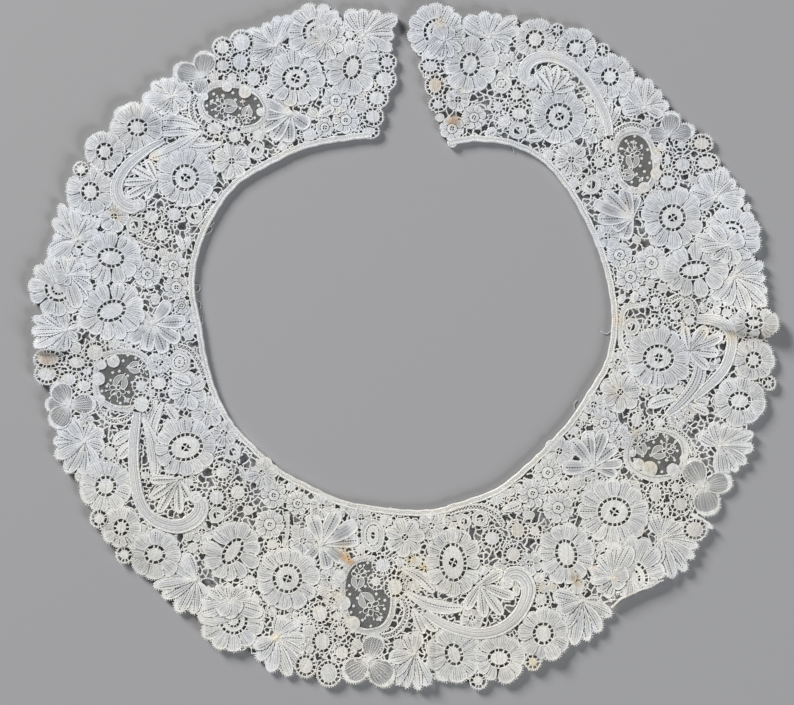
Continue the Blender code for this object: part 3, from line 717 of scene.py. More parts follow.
def flower(x, y, reach, petals, first, ring, aspect=(1, 1, 0), four=False, warm=0.25, dotted=0.3, z0=0.72,
           shade=1.0, um=0.60, grow=1.20):
    """A round flower: petals, a ring of holes and a cloth centre."""
    rx, ry, rrot = ring
    begin()
    for k in range(petals):
        a = math.radians(first + 360.0 * (k + 0.07 * rng.standard_normal()) / petals)
        far = reach * (1 + 0.032 * rng.standard_normal())
        tip = ellipse_points(x, y, far * aspect[0], far * aspect[1], aspect[2], np.array([a - math.radians(aspect[2])]))[0]
        direction = tip - np.array((x, y))
        bearing = math.atan2(-direction[1], direction[0])
        base = ellipse_points(x, y, rx + 2.2, ry + 2.2, rrot, np.array([bearing - math.radians(rrot)]))[0]
        r0 = float(np.hypot(*(base - (x, y))))
        r1 = r0 + um * (float(np.hypot(*direction)) - r0)
        w0, w1 = math.pi * r0 / petals * 1.14, math.pi * r1 / petals * grow * rng.uniform(0.93, 1.08)
        ribs = max(3, int(round(2 * w1 / 2.45)))
        dots = (ribs // 2,) if rng.random() < dotted else ()
        lobe(base, tip, w0, w1, z0=z0 + 0.06 * (k % 2), dome=0.16, um=um, ribs=ribs, dotted=dots, warm=warm,
             tone=shade * (0.98 + 0.04 * rng.standard_normal()))
    arc_cord(x, y, rx + 2.1, ry + 2.1, rrot, half=0.55, z0=0.66, warm=warm + 0.2)
    ladder(x, y, rx, ry, rrot, inside=1.7, outside=1.7, spacing=4.9, half=0.68, warm=warm + 0.2)
    middle(x, y, rx - 1.7, ry - 1.7, rrot, warm + 0.1, four)
    cover_disc(x, y, rx + 3, ry + 3, rrot)
    cover_disc(x, y, reach * aspect[0] * 0.78, reach * aspect[1] * 0.78, aspect[2])


def spray(x, y, tips, warm=0.3, dotted=0.5, z0=0.76, um=0.62):
    """Leaves that spread from a bright eye."""
    eye = np.array((x, y), float)
    begin()
    bearings = [math.degrees(math.atan2(y - ty, tx - x)) for tx, ty in tips]
    order = np.argsort(bearings)
    for rank, k in enumerate(order):
        tip = np.array(tips[k], float)
        far = float(np.hypot(*(tip - eye)))
        before = abs((bearings[k] - bearings[order[rank - 1]]) % 360)
        after = abs((bearings[order[(rank + 1) % len(order)]] - bearings[k]) % 360)
        gap = np.mean([min(before, 44), min(after, 44)]) if len(tips) > 1 else 40
        w1 = min(max(far * (um + 0.12) * math.tan(math.radians(gap / 2)) * 1.12, 4.0), 10.0)
        base = eye + (tip - eye) / far * 1.0
        bend = rng.uniform(-0.7, 0.7)
        ribs = max(3, int(round(2 * w1 / 2.4)))
        dots = tuple(m for m in range(1, ribs) if rng.random() < dotted and m % 2 == 1)
        lobe(base, tip, 1.2, w1, z0=z0 + 0.05 * (rank % 2), dome=0.22, um=um, ribs=ribs, dotted=dots, warm=warm,
             bend=bend, tilt=-0.10, root=0.8, sides=0.55, tone=1.03)
    oval(x, y, 5.4, z0=0.58, dome=0.10, warm=0.55, tone=0.97, angle=rng.uniform(0, 180), cover=False, edge=False)
    oval(x, y, 2.2, z0=0.92, dome=0.14, warm=0.75, tone=1.03, cover=False, clean=True, edge=False)
    cover_disc(x, y, 6)


def fan(x, y, tips):
    """Long hollow leaves round a wide dense eye: open half stitch between stout white edges."""
    eye = np.array((x, y), float)
    begin()
    for rank, (tx, ty, w1) in enumerate(tips):
        tip = np.array((tx, ty), float)
        far = float(np.hypot(*(tip - eye)))
        lobe(eye + (tip - eye) / far, tip, 2.4, 1.17 * w1, z0=0.80 + 0.03 * (rank % 2), dome=0.08, um=0.72,
             ribs=4, dotted=(2,) if rng.random() < 0.7 else (), warm=0.25, bend=rng.uniform(-1.0, 1.0), tilt=-0.10,
             root=1.0, inner=rng.uniform(0.58, 0.78), cord=1.10, sides=1.0, power=2.9)
    oval(x, y, 3.4, 2.8, rng.uniform(0, 180), z0=0.88, dome=0.16, warm=0.7, tone=1.03, cover=False, clean=True,
         edge=False)
    cover_disc(x, y, 6)


def plaque(x, y, rx, ry, rot=0.0, warm=None, z0=0.62):
    """A cloth plaque inside a ring of holes and an edge cord."""
    warm = rng.uniform(0.15, 0.7) if warm is None else warm
    rx, ry = 1.06 * rx, 1.06 * ry
    begin()
    oval(x, y, rx - 3.5, ry - 3.5, rot, z0=z0, dome=0.14, warm=warm, angle=rng.uniform(-30, 30), cord=0.6, tone=0.98)
    ladder(x, y, rx - 1.7, ry - 1.7, rot, inside=1.5, outside=1.4, spacing=4.3, half=0.55, warm=0.6, z=z0 - 0.12)
    a = np.linspace(0, 2 * np.pi, 16, endpoint=False)
    p = ellipse_points(x, y, rx + 0.1, ry + 0.1, rot, a)
    p = (p - (x, y)) * (1 + 0.022 * rng.standard_normal(16))[:, None] + (x, y)
    cord_line(p, half=0.56, z0=z0 - 0.1, high=0.16, closed=True, warm=0.5, tone=1.0, twist=0.03, skirt=True,
              clip=under)
    for k in range(int(round((rx + ry) * 0.8))):
        t = 2 * math.pi * (k + rng.uniform(-0.2, 0.2)) / round((rx + ry) * 0.8)
        q = ellipse_points(x, y, rx + 0.2, ry + 0.2, rot, np.array([t, t]))
        q[1] += (q[1] - (x, y)) / max(rx, ry) * 1.1
        bar(q[0], q[1], half=0.5, z0=z0 - 0.1, high=0.14, clip=under)
    cover_disc(x, y, rx + 0.5, ry + 0.5, rot)


def rose(x, y, reach, ring, petals=8, first=None, warm=0.35):
    """A dense rose by the neck: scallops, a raised ring and four small holes in its middle."""
    first = rng.uniform(0, 45) if first is None else first
    begin()
    for k in range(petals):
        a = math.radians(first + 360.0 * k / petals)
        tip = (x + reach * math.cos(a), y - reach * math.sin(a))
        base = (x + (ring + 0.8) * math.cos(a), y - (ring + 0.8) * math.sin(a))
        r1 = ring + 0.55 * (reach - ring)
        lobe(base, tip, math.pi * (ring + 1) / petals, math.pi * r1 / petals * 1.3, z0=0.68 + 0.05 * (k % 2), dome=0.1,
             um=0.42, ribs=4, dotted=(), warm=warm, pitch=1.4, cord=0.6, tone=1.02, sides=0.4)
    oval(x, y, ring + 0.2, z0=0.74, dome=0.10, warm=warm, tone=0.97, cover=False, eye=2.7 / (ring + 0.2), cord=0.72)
    arc_cord(x, y, 2.9, 2.9, 0, half=0.62, z0=0.80)
    for m in range(4):
        a = math.radians(45 + 90 * m + first)
        bar((x, y), (x + 2.9 * math.cos(a), y - 2.9 * math.sin(a)), half=0.5, z0=0.5, high=0.3, tone=1.0)
    cover_disc(x, y, reach * 0.95)


def loop_ring(x, y, rx, ry, warm=0.5):
    """A narrow braid that closes in a ring."""
    begin()
    turn = rng.uniform(0, 360)
    around = np.linspace(0, 2 * np.pi, 16, endpoint=False)
    wide = 0.26 * (rx + ry) / 2 if rx < 9.8 else 2.3
    p = ellipse_points(x, y, rx - wide, ry - wide, 0, around) + 0.25 * rng.standard_normal((16, 2))
    strip(p, wide, z0=0.70, ribs=2, warm=warm, cord=0.6, closed=True, rim=0.16, tone=0.98)
    if rx < 9.8:
        # an open eye, with a bar across and a small knot of the braid's end in one half
        ix = rx - 2 * wide
        a = math.radians(turn)
        bar((x - ix * math.cos(a), y + ix * math.sin(a)), (x + ix * math.cos(a), y - ix * math.sin(a)), half=0.7,
            z0=0.56, high=0.26, tone=1.0)
        oval(x + 0.55 * ix * math.cos(a + 1.2), y - 0.55 * ix * math.sin(a + 1.2), 0.42 * ix + 0.4, z0=0.62, dome=0.14,
             warm=warm, cover=False, clean=True, edge=False)
    else:
        # a ring of holes and a coil inside it
        ladder(x, y, rx - 5.6, ry - 5.6, 0, inside=0.6, outside=1.0, spacing=3.4, half=0.8, warm=warm)
        oval(x, y, rx - 5.9, ry - 5.9, 0, z0=0.62, dome=0.14, warm=warm, tone=0.98, cover=False, eye=0.34, cord=0.6)
        bar((x - 2.4, y - 0.6), (x + 2.4, y + 0.6), half=0.7, z0=0.56, high=0.24, tone=1.0)
    cover_disc(x, y, rx - 0.2, ry - 0.2)


def bud(x, y, r, warm=0.6, ry=None, rot=0.0):
    begin()
    oval(x, y, r, ry or r, rot, z0=0.66, dome=0.16, cord=0.5, warm=warm, tone=0.97, angle=rng.uniform(0, 180),
         contrast=0.5)


# ------------------------------------------------------------------ motif tables, read from the photograph
# across, down, reach, petals, first bearing, ring (rx, ry, turn), aspect (x, y, turn), centre
ROSETTES = [
    (470, 65, 27, 10, 80, (8.5, 10.5, -10), (1, 1, 0), None),
    (559, 117, 27, 11, 90, (12, 12, 0), (1, 1, 0), "four"),
    (672, 218, 30, 11, 75, (12, 12, 0), (1, 1, 0), "four"),
    (694, 270, 30, 11, 90, (14, 7.5, 8), (1.1, 0.88, 0), None),
    (658, 358, 31, 12, 85, (14, 12, 0), (1.02, 1, 0), "four"),
    (614, 511.5, 34, 13, 95, (15, 13, 0), (1, 1, 0), "four"),
    (566, 553.5, 29, 11, 80, (9.5, 13.2, 14), (0.95, 1.04, 0), None),
    (453, 562, 30, 12, 90, (12, 18, 5), (0.94, 1.1, 0), "four"),
    (287.5, 578, 31, 11, 100, (13.3, 13.3, 0), (1, 1, 0), "four"),
    (233, 551, 29, 11, 70, (7, 13.5, -35), (1, 1, 0), None),
    (186, 447, 30, 12, 90, (16, 12.3, 12), (1, 0.98, 0), "four"),
    (112, 311, 30, 12, 80, (13.5, 9, 20), (1.1, 0.94, 10), None),
    (111.5, 258, 28.5, 11, 90, (12, 8.3, -8), (1.05, 0.93, 0), None),
    (186, 178, 29, 12, 85, (12, 12, 0), (1, 1, 0), "four"),
    (296, 79, 28, 11, 90, (12.3, 10.5, 0), (1, 1, 0), "four"),
    (352.5, 68, 27, 10, 95, (7.6, 10.8, -16), (1, 1, 0), None),
]
DAISIES = [
    (535, 40, 19.5, 8, 70, (8, 8, 0), (1, 1, 0)), (576, 49, 19.5, 8, 60, (8.5, 7.5, 0), (1, 1, 0)),
    (609.5, 77.5, 23, 8, 50, (7.5, 7.5, 0), (1, 1, 0)), (752, 323, 22, 8, 0, (8, 4.6, 0), (1.08, 0.62, 0)),
    (753, 360, 20.5, 8, -5, (6.5, 7, 0), (1, 1, 0)), (739, 401, 25.5, 8, -13, (10, 8, 0), (1, 1, 0)),
    (543, 633, 25.5, 9, -65, (9, 9.6, 0), (1, 1, 0)), (499, 657.5, 25, 9, -74, (10, 8, 0), (1, 0.98, 0)),
    (454, 654, 28, 9, -81, (7.5, 10, 20), (1, 1, 0)), (155.5, 554, 25.5, 8, -138, (9, 8, 0), (1, 1, 0)),
    (122, 527, 20, 8, -145, (6.3, 7, 0), (1, 1, 0)), (106.5, 486, 25.5, 8, -152, (9, 9, 0), (1, 1, 0)),
    (91, 192, 23.5, 8, -203, (7.6, 8.2, 0), (1, 1, 0)), (105.5, 152, 19.5, 8, -210, (7, 7.4, 0), (1, 1, 0)),
    (138, 128, 26, 9, -217, (8.6, 7.4, 0), (1, 1, 0)),
]
# across, down, reach, petals, first; outer arc centre and radius, inner arc centre and radius,
# arc bearings; eye, tips of the thin leaves folded over the middle, tips of the long leaves to the rim
TURNED = [
    (436, 33, 28, 11, 90, (437, 33), 12.0, (437, 33), 5.8, (88, 225), (444, 40), [(438, 25), (451, 28)],
     [(427, 58), (439, 61), (451, 58), (461, 51), (465, 40), (464, 28), (457, 15)]),
    (731, 236, 28.5, 11, 15, (731, 234), 11.5, (730.3, 234.8), 6.0, (-15, 150), (727, 245), [(743, 239)],
     [(709, 226), (695, 237), (699, 249), (711, 259), (724, 264), (738, 264), (750, 257), (759, 245)]),
    (631, 566, 32, 11, 30, (630.5, 577.5), 15.5, (630, 577.7), 8.4, (-28, 80), (613.5, 577),
     [(628, 571), (622, 587)],
     [(606, 597), (597, 591), (590, 581), (590, 568), (598, 556), (608, 549), (619, 545), (631, 546)]),
    (232, 617, 33, 11, -120, (234, 620), 12.6, (233.5, 619.5), 6.0, (190, 380), (230, 602),
     [(219, 613), (231, 618), (242, 610)],
     [(201, 612), (201, 600), (207, 590), (217, 585), (229, 583), (241, 586), (252, 591), (260, 601), (263, 613)]),
    (60, 286, 30, 11, -187, (59.3, 288.3), 12.3, (59.8, 287.8), 6.2, (150, 320), (68.5, 276),
     [(55, 278), (66, 285.5)],
     [(54, 259), (64, 256), (75, 257), (86, 264), (92, 276), (93, 289), (88, 300), (79, 308)]),
    (316, 33, 29, 11, -253, (316.5, 33), 12.2, (316.5, 33.5), 5.8, (75, 235), (325.5, 42), [(320, 26), (333, 27)],
     [(303, 55), (312, 61), (323, 63), (334, 60), (343, 51), (346, 40), (345, 28), (339, 18)]),
]
# eye across, eye down, tips
SPRAYS = [
    (489, 38, [(464, 20), (483, 13), (499, 15), (516, 18), (520, 30), (512, 42), (508, 52), (497, 56)]),
    (644, 108, [(636, 78), (648, 80), (660, 92), (668, 106), (662, 116), (625, 88), (619, 100), (622, 112)]),
    (715, 197, [(703, 173), (722, 168), (734, 181), (744, 193), (743, 204), (690, 190), (697, 207)]),
    (733, 277, [(752, 257), (762, 264), (764, 279), (766, 292), (765, 306), (745, 313), (725, 306), (712, 299)]),
    (719, 446, [(699, 433), (712, 422), (727, 423), (741, 426), (752, 433), (752, 448), (745, 463), (736, 471), (723, 476)]),
    (661, 538, [(652, 514), (670, 516), (683, 524), (692, 535), (697, 546), (693, 557), (685, 570), (672, 577), (655, 564)]),
    (581, 600, [(553, 594), (557, 611), (563, 627), (573, 644), (587, 640), (599, 631), (611, 614), (602, 601)]),
    (414, 653, [(389, 658), (390, 676), (397, 684), (406, 687), (418, 689), (428, 684), (418, 631), (406, 634)]),
    (276, 637, [(306, 638), (304, 655), (303, 670), (290, 675), (271, 671), (258, 659), (254, 646), (283, 615), (300, 622)]),
    (196, 579, [(184, 553), (171, 560), (160, 572), (154, 585), (163, 596), (178, 611), (194, 613), (207, 604)]),
    (85, 441, [(68, 419), (58, 429), (54, 441), (56, 456), (67, 472), (82, 474), (96, 467), (105, 447), (104, 430), (94, 423)]),
    (67, 330, [(45, 312), (34, 318), (33, 331), (36, 346), (52, 352), (66, 350), (77, 341), (80, 327), (62, 309)]),
    (77, 240, [(50, 257), (54, 238), (54, 220), (61, 204), (73, 205), (89, 216), (101, 219), (98, 231)]),
    (172.5, 97, [(143, 99), (152, 84), (163, 79), (175, 78), (187, 84), (192, 96), (186, 109), (175, 116), (161, 115), (149, 111)]),
    (276, 46, [(247, 33), (265, 24), (278, 17), (291, 17), (248, 48), (252, 60), (264, 66), (279, 66), (286, 57)]),
    (363, 36, [(348, 11), (363, 10), (379, 12), (397, 18), (394, 36), (391, 51), (376, 51)]),
]
# the large open leaves beside the insets: eye, then tips with half widths
FANS = [
    (631, 218, [(594, 203, 5.2), (604, 192, 5.2), (623, 189, 5.2), (637, 196, 4.6), (598, 219, 5.4), (613, 230, 4.2),
                (623, 239, 5.4)]),
    (592, 466, [(562, 467, 6.0), (571, 440, 5.8), (587, 431, 5.8), (604, 430, 5.8), (616, 446, 5.2), (622, 463, 4.0),
                (617, 475, 4.0)]),
    (321, 543, [(311, 514, 6.2), (338, 510, 6.2), (357, 523, 6.2), (359, 540, 5.4), (346, 561, 5.6), (328, 569, 5.4),
                (307, 558, 4.4)]),
    (153.5, 322.5, [(169, 302, 5.4), (186, 321, 5.6), (180, 341, 5.6), (165, 353, 5.6), (147, 351, 6.2),
                    (131, 342, 5.8), (129, 326, 5.0), (136, 312, 4.6)]),
    (290, 113.5, [(265, 102, 4.6), (261, 116, 4.6), (262, 130, 5.2), (273, 140, 5.6), (289, 143, 5.6),
                  (309, 127, 6.0), (276, 96, 3.6)]),
]
# eye, and lobes as centre, half width, half depth, turn
SHEERS = [
    ((668, 136), [(672, 112, 9.5), (694, 130, 8.5), (645, 134, 7.5)]),
    ((702, 486), [(687, 459, 12.5), (731, 480, 10.5), (709, 515, 13)]),
    ((369, 660), [(377, 633, 11), (344, 677, 12), (392, 682, 13)]),
    ((70, 405), [(56, 382, 10.5), (97, 403, 10), (54, 427, 11), (46, 404, 8)]),
    ((203, 77), [(207, 52, 11), (174, 70, 10), (200, 97, 8)]),
]
PLAQUES = [
    (430, 67, 10, 8), (435, 86, 9, 10), (438, 105, 8, 7), (516, 95, 8.5, 8), (498, 107, 7.5, 8), (519, 114, 10, 8.5),
    (607, 145, 8.5, 8.5), (599, 163, 8, 8), (615, 160, 6.5, 6.5), (701, 144, 10, 8.5), (681, 145, 7, 7),
    (706, 163, 11.5, 9), (682, 165, 10, 9), (667, 160, 6, 8.5), (667, 182, 10, 9), (655, 302, 7.5, 8),
    (654, 321, 7, 6.5), (675, 316, 8.5, 7), (636, 420, 8, 9.5), (658.5, 422, 9, 7), (650.5, 433, 7, 6),
    (655, 494, 8.8, 10), (680, 504, 9.5, 9), (675.6, 487.5, 7.5, 8), (694, 529, 11, 10), (665.6, 511, 6, 7.5),
    (492, 538, 9.8, 9.2), (517.5, 530, 9.4, 10), (513, 554, 9.6, 9.6), (395, 586.5, 10, 10.5), (383, 565, 10, 9.5),
    (376, 581, 7.5, 7.5), (320, 613, 10, 10.8), (322.5, 641, 10, 10.8), (342, 652, 9, 9), (306, 665, 9.6, 10.5),
    (329, 672.5, 11, 12), (340.6, 630.6, 7.8, 7.8), (223, 472, 9.4, 9), (217, 497, 9.8, 9.8), (238, 492, 9.8, 9.6),
    (142, 404, 10, 10.5), (142, 386, 8.3, 8.3), (159.5, 383, 9.8, 9), (95.6, 352.5, 10.5, 10.5),
    (77.5, 362.5, 10.8, 8.2), (49, 359, 13, 9), (48, 373.8, 11.5, 9.5), (69, 379.5, 10, 9), (87.5, 370.3, 7.6, 7.6),
    (152, 217, 9.6, 9), (174.5, 214.5, 9.6, 9), (162, 234.4, 9, 9), (215, 128.7, 10.5, 8.5), (231, 124, 8, 7),
    (235, 136.6, 9, 9), (223, 66, 9, 8), (240.5, 62.5, 10, 10.5), (223, 48, 9, 9), (242, 43, 11, 11),
    (232.5, 78, 7.5, 7.5), (253.7, 79, 9.5, 10), (387, 62.5, 8.5, 7.6), (384.4, 80, 10.8, 10), (377, 98.5, 10.3, 9.2),
    (373, 117, 9.6, 9), (369, 131.5, 9.5, 6.6),
]
EDGE_LOOPS = [
    (557, 31, 6), (602, 51, 6), (768, 383, 6), (532.5, 661, 7), (478, 680, 7.5), (125, 554, 7.5), (100, 518, 8),
    (82, 170, 7),
]
ROSES = [
    (452, 129, 12, 4.5), (474, 118, 12, 4.5), (619, 255, 13, 5), (651, 263, 16, 6), (630, 277, 14, 5.5),
    (604.5, 422.5, 13, 5), (547.5, 472.5, 14, 5.5), (532.5, 493, 15, 5), (558, 507.5, 15.5, 5.5), (274, 495, 13, 5),
    (298, 503, 12, 4.5), (270, 524, 14.5, 5.5), (148, 274, 14, 5.5), (174, 265.5, 13.5, 4.5), (177, 287.5, 12.5, 5),
    (182, 305.5, 8, 3), (336, 101, 14, 5.5), (346, 120.6, 13.5, 5), (325, 128, 9, 4),
]
SMALL_FLOWERS = [
    (458, 100, 12, 6), (571, 160, 17, 7), (620, 392, 21, 7), (405, 537, 20, 7), (188, 391, 19.5, 7), (232, 161.5, 19, 7),
]
RINGS = [
    (501, 84, 10, 9.5), (518, 131, 9, 8.4), (591, 185, 9.5, 9.5), (631, 327, 8.6, 8.4), (686, 306, 7, 7), (373, 535, 12, 16),
    (464, 521, 6.8, 7.2), (480, 518, 8, 8), (233, 452, 8, 8.4), (195, 216, 8.4, 8), (255.6, 150.6, 8.5, 8.5),
    (180, 362, 10.5, 11), (135, 225, 8.6, 8.2), (217, 515, 8, 7.6),
]
BUDS = [
    (440, 118, 4.5), (452, 143, 5), (645, 125, 6), (692, 180, 5), (636, 240, 5), (654, 195, 6), (650, 284, 5),
    (662, 288, 6), (630, 338, 5.4), (634, 485, 6), (530, 515, 5), (543, 588, 5), (552, 586, 5), (156, 298.7, 6),
    (188.7, 335, 6), (80, 476, 5.5), (151, 254, 5), (162.5, 253, 5.5), (214, 78, 5), (256, 64, 5.5), (360, 95, 5.5),
    (361, 107, 6.5), (313, 113, 6), (76, 348, 6.5), (746, 208, 4), (248, 510, 5), (296, 529, 5), (323, 590, 6),
    (309, 630, 6), (189, 536, 5), (575, 483, 6), (115, 343, 6.5), (503, 492, 6), (189, 98, 5), (357, 644, 6),
    (399, 644, 6),
]
# scroll braids: path, half width at each point, leaflet base, leaflet tips
SCROLLS = [
    ([(165, 141), (153, 147), (141, 155), (129, 165), (120, 178), (117, 190), (121, 201), (131, 207), (140, 205)],
     [2.2, 3.4, 4.4, 5, 5.4, 6, 6.8, 7, 5], (157.5, 181),
     [(147, 160, 3.8), (131, 166, 4.4), (122, 183, 4.0), (127, 197, 4.2), (147, 199, 3.8)]),
    ([(609, 136), (607, 122), (601, 106), (593, 91), (583, 77), (572, 67), (559, 60), (546, 57), (533, 60), (525, 68), (524, 78), (531, 83)],
     [3.5, 4.2, 4.6, 4.6, 4.6, 4.8, 5, 5.2, 5.6, 6, 6, 4], (551, 93),
     [(536, 73), (544, 67), (557, 67), (568, 73), (575, 85)]),
    ([(138, 412), (136, 426), (134, 444), (134, 462), (136, 482), (140, 500), (149, 515), (164, 524), (181, 526), (196, 518), (202, 506), (196, 497)],
     [3.5, 4.5, 5, 5, 5.2, 5.4, 5.6, 6, 6.6, 7.4, 7, 4], (178.5, 479),
     [(151, 480), (151, 498), (159, 512), (180, 513), (190, 500)]),
    ([(425, 612), (440, 622), (457, 629), (478, 633), (499, 629), (516, 617), (526, 600), (528, 586), (521, 575), (511, 574), (507, 582)],
     [3.5, 4.6, 5, 5.2, 5.4, 5.8, 6.4, 7.2, 7.6, 7, 4.5], (480, 584),
     [(502, 571, 5.2), (514, 597, 5.6), (502, 614, 5.6), (484, 617, 5.6), (465, 609, 5.4)]),
    ([(696, 319), (712, 320), (725, 326), (731, 338), (730, 352), (725, 366), (716, 378), (705, 388), (694, 398)],
     [4.4, 5.2, 5.2, 4.8, 4.8, 4.8, 4.8, 4.4, 3.0], (688, 350),
     [(684, 326, 4.2), (706, 327, 6.0), (722, 336, 5.2), (718, 353, 5.6), (708, 369, 5.2)]),
]
# wide ribbed leaves: base, tip, half width, bend
LEAVES = [
    ((676, 347), (698, 368), 3.8, 0), ((404, 590), (463, 608), 6.5, 6), ((143, 417), (155, 477), 6.5, -5),
    ((202, 131), (150, 158), 6.8, -4), ((222, 143), (184, 146), 5.5, -4), ((200, 128), (160, 122), 6, 3),
    ((196, 133), (158, 134), 5, 2), ((206, 139), (188, 153), 4.6, 2),
    ((134, 432), (114, 444), 5.5, 2), ((135, 440), (119, 458), 5.5, 0), ((164, 402), (153, 436), 4.8, 3),
    ((158, 400), (148, 426), 4.8, 3), ((166, 404), (178, 420), 4.5, 0), ((401, 568), (434, 592), 6, -4),
    ((420, 612), (437, 630), 6, 0), ((413, 608), (424, 633), 5, 0), ((604, 126), (600, 98), 4.2, 0),
    ((606, 126), (610, 100), 4.0, 0), ((608, 128), (619, 108), 4.0, 0), ((693, 400), (708, 402), 4.5, 0),
    ((690, 405), (708, 413), 4.5, 0), ((676, 398), (648, 406), 6, 2), ((184, 250), (178, 236), 3.6, 0),
    ((184, 250), (190, 237), 3.6, 0), ((618, 303), (624, 295), 3.6, 0), ((632, 303), (636, 292), 3.6, 0),
    ((318, 116), (334, 108), 4.5, 0), ((485, 136), (496, 130), 4.5, 0), ((526, 139), (543, 137), 4.5, 0),
    ((503, 510), (521, 503), 4.8, 0), ((172, 375), (192, 383), 5, 0), ((210, 192), (218, 200), 4, 0),
    ((690, 513), (712, 528), 2.4, 0),
]
# double-cord arcs with a ladder between them: path
ARCS = [
    [(611, 156), (611, 141), (618, 130), (632, 125), (646, 131), (656, 143)],
    [(199, 93), (193, 103), (193, 115), (199, 126), (210, 134)],
    [(97, 402), (101, 413), (113, 421), (127, 418), (136, 409)],
    [(402, 597), (407, 609), (404, 622), (394, 633), (380, 637)],
    [(667, 427), (679, 432), (689, 442), (694, 455)],
    [(449, 512), (462, 508), (480, 507), (495, 514), (503, 524)],
    [(206, 462), (214, 456), (226, 452)], [(222, 516), (231, 510), (232, 500)],
    [(196, 226), (205, 214), (212, 203)], [(136, 238), (148, 244), (158, 246)],
    [(668, 301), (680, 296), (692, 302), (697, 312)],
    [(176, 345), (190, 350), (199, 362), (205, 376)],
]
# the wide braid beside the right scroll: path, half widths
WIDE_BRAID = ([(700, 365), (698, 377), (693, 388), (685, 398), (676, 407), (667, 414)], [5.4, 6.8, 6.8, 6.0, 4.8, 3.2])
# narrow cloth braids: path, half width
BRAIDS = [
    ([(652, 299), (642, 305), (631, 306), (623, 311), (621, 322), (620, 334), (621, 344), (627, 351), (635, 348), (640, 340), (641, 332)], 2.6),
    ([(236, 498), (243, 488), (245, 476), (240, 466)], 1.8),
    ([(560, 84), (570, 92), (574, 104), (570, 114)], 1.8),
    ([(441, 519), (445, 511), (454, 506), (466, 505), (479, 506), (491, 509), (499, 513)], 2.6),
    ([(287, 511), (288, 524), (287, 536), (284, 546)], 1.7),
    ([(127, 230), (129, 237), (137, 240), (145, 236), (148, 229)], 1.8),
]
# the straight fold at the lower right, beyond which nothing shows, and the ground behind it
FOLD_EDGE = [(611.5, 608), (620, 599), (630, 594), (640, 589.5), (651, 586), (658, 581.5), (663, 580)]
FOLD_BEHIND = FOLD_EDGE + [(674, 580.5), (682, 572), (700, 575), (705, 640), (640, 650), (614, 626)]
# places where the ground of bars stays open: across, down, radius
OPEN_GROUND = [
    (160, 212, 8), (190, 250, 8), (206, 240, 6), (172, 226, 6), (200, 200, 6), (186, 104, 9), (176, 115, 7), (158, 206, 8), (192, 206, 8), (182, 230, 11), (148, 240, 12), (172, 246, 8),
    (212, 160, 6), (214, 190, 6), (225, 182, 5), (205, 345, 9), (185, 345, 7), (122, 286, 7), (150, 296, 9),
    (95, 337, 8), (112, 341, 6), (205, 466, 10), (230, 462, 9), (246, 460, 10), (240, 510, 12), (250, 490, 9),
    (205, 480, 9), (215, 520, 9), (258, 497, 8), (148, 492, 10), (100, 427, 8), (112, 430, 8), (128, 494, 6),
    (206, 582, 8), (185, 537, 8), (262, 575, 7), (305, 605, 8), (268, 622, 7), (300, 520, 8), (285, 535, 7),
    (318, 595, 6), (268, 146, 8), (288, 52, 7), (326, 62, 8), (325, 82, 7), (320, 100, 8), (360, 100, 7),
    (475, 527, 9), (500, 515, 9), (490, 555, 10), (530, 545, 8), (545, 525, 7), (470, 520, 8), (553, 575, 7),
    (480, 600, 10), (590, 540, 8), (594, 588, 8), (570, 520, 8), (650, 548, 7), (690, 430, 9), (700, 420, 8),
    (640, 503, 7), (625, 480, 7), (700, 455, 7), (588, 430, 8), (620, 410, 7), (690, 375, 9), (640, 400, 8),
    (632, 312, 9), (645, 305, 7), (600, 208, 8), (640, 245, 8), (700, 245, 7), (700, 295, 8), (560, 135, 6),
    (500, 97, 9), (485, 90, 9), (480, 105, 8), (525, 128, 8), (545, 140, 8), (500, 136, 7), (465, 92, 7),
    (490, 60, 8), (520, 55, 7), (575, 95, 8), (587, 165, 8), (595, 150, 7), (655, 190, 6), (590, 197, 8),
]
INSETS = [
    # name, across, down, half width, half depth, turn; border bumps; bell flowers (across, down, size, facing,
    # stalks); trefoils (across, down, size, facing)
    ("medallion_1", 634.5, 161.5, 18.5, 27.5, 8,
     [(654, 158, 6), (654, 173, 6), (643, 186, 6), (631, 188, 4), (646, 139, 4)],
     [(632.1, 157.3, 0.96, 92, 4), (624.5, 175, 0.82, 178, 3)], [(633, 144, 3.6, 80), (640, 179, 3.6, 320)]),
    ("medallion_2", 234, 107, 31, 19.5, -12,
     [(228, 89, 5.5), (244, 94, 6.5), (207, 98, 4), (259, 112, 4.5)],
     [(226.2, 106.6, 0.98, 180, 5), (247.2, 115.6, 0.76, 265, 2)], [(213, 103, 3.4, 150), (243, 103, 3.0, 100)]),
    ("medallion_3", 124.5, 380, 27, 27, 0,
     [(115, 363, 6.5), (101, 379, 7), (103, 398, 5), (104, 366, 5)],
     [(119.6, 386, 1.04, 248, 5), (138.7, 367, 0.86, 8, 4)], [(127, 399, 4, 300), (110, 404, 3, 230)]),
    ("medallion_4", 368, 594.5, 23.5, 35, 5,
     [(341, 577, 7), (345.5, 602, 7.5), (354, 621, 7.5), (345, 562, 5)],
     [(358.5, 577.5, 0.94, 82, 3), (368.6, 603.3, 1.12, 305, 5)], [(379, 617, 4.2, 300), (344, 591, 3.4, 190)]),
    ("medallion_5", 655.5, 453.5, 27, 22.5, -8,
     [(650, 466.5, 8), (640, 463, 6), (671, 468, 6.5), (681, 458, 4), (634, 453, 4)],
     [(639.6, 445.5, 0.86, 112, 2), (662, 451, 0.98, 18, 5)], [(673, 447, 3.2, 20), (666, 438, 3.2, 80)]),
]

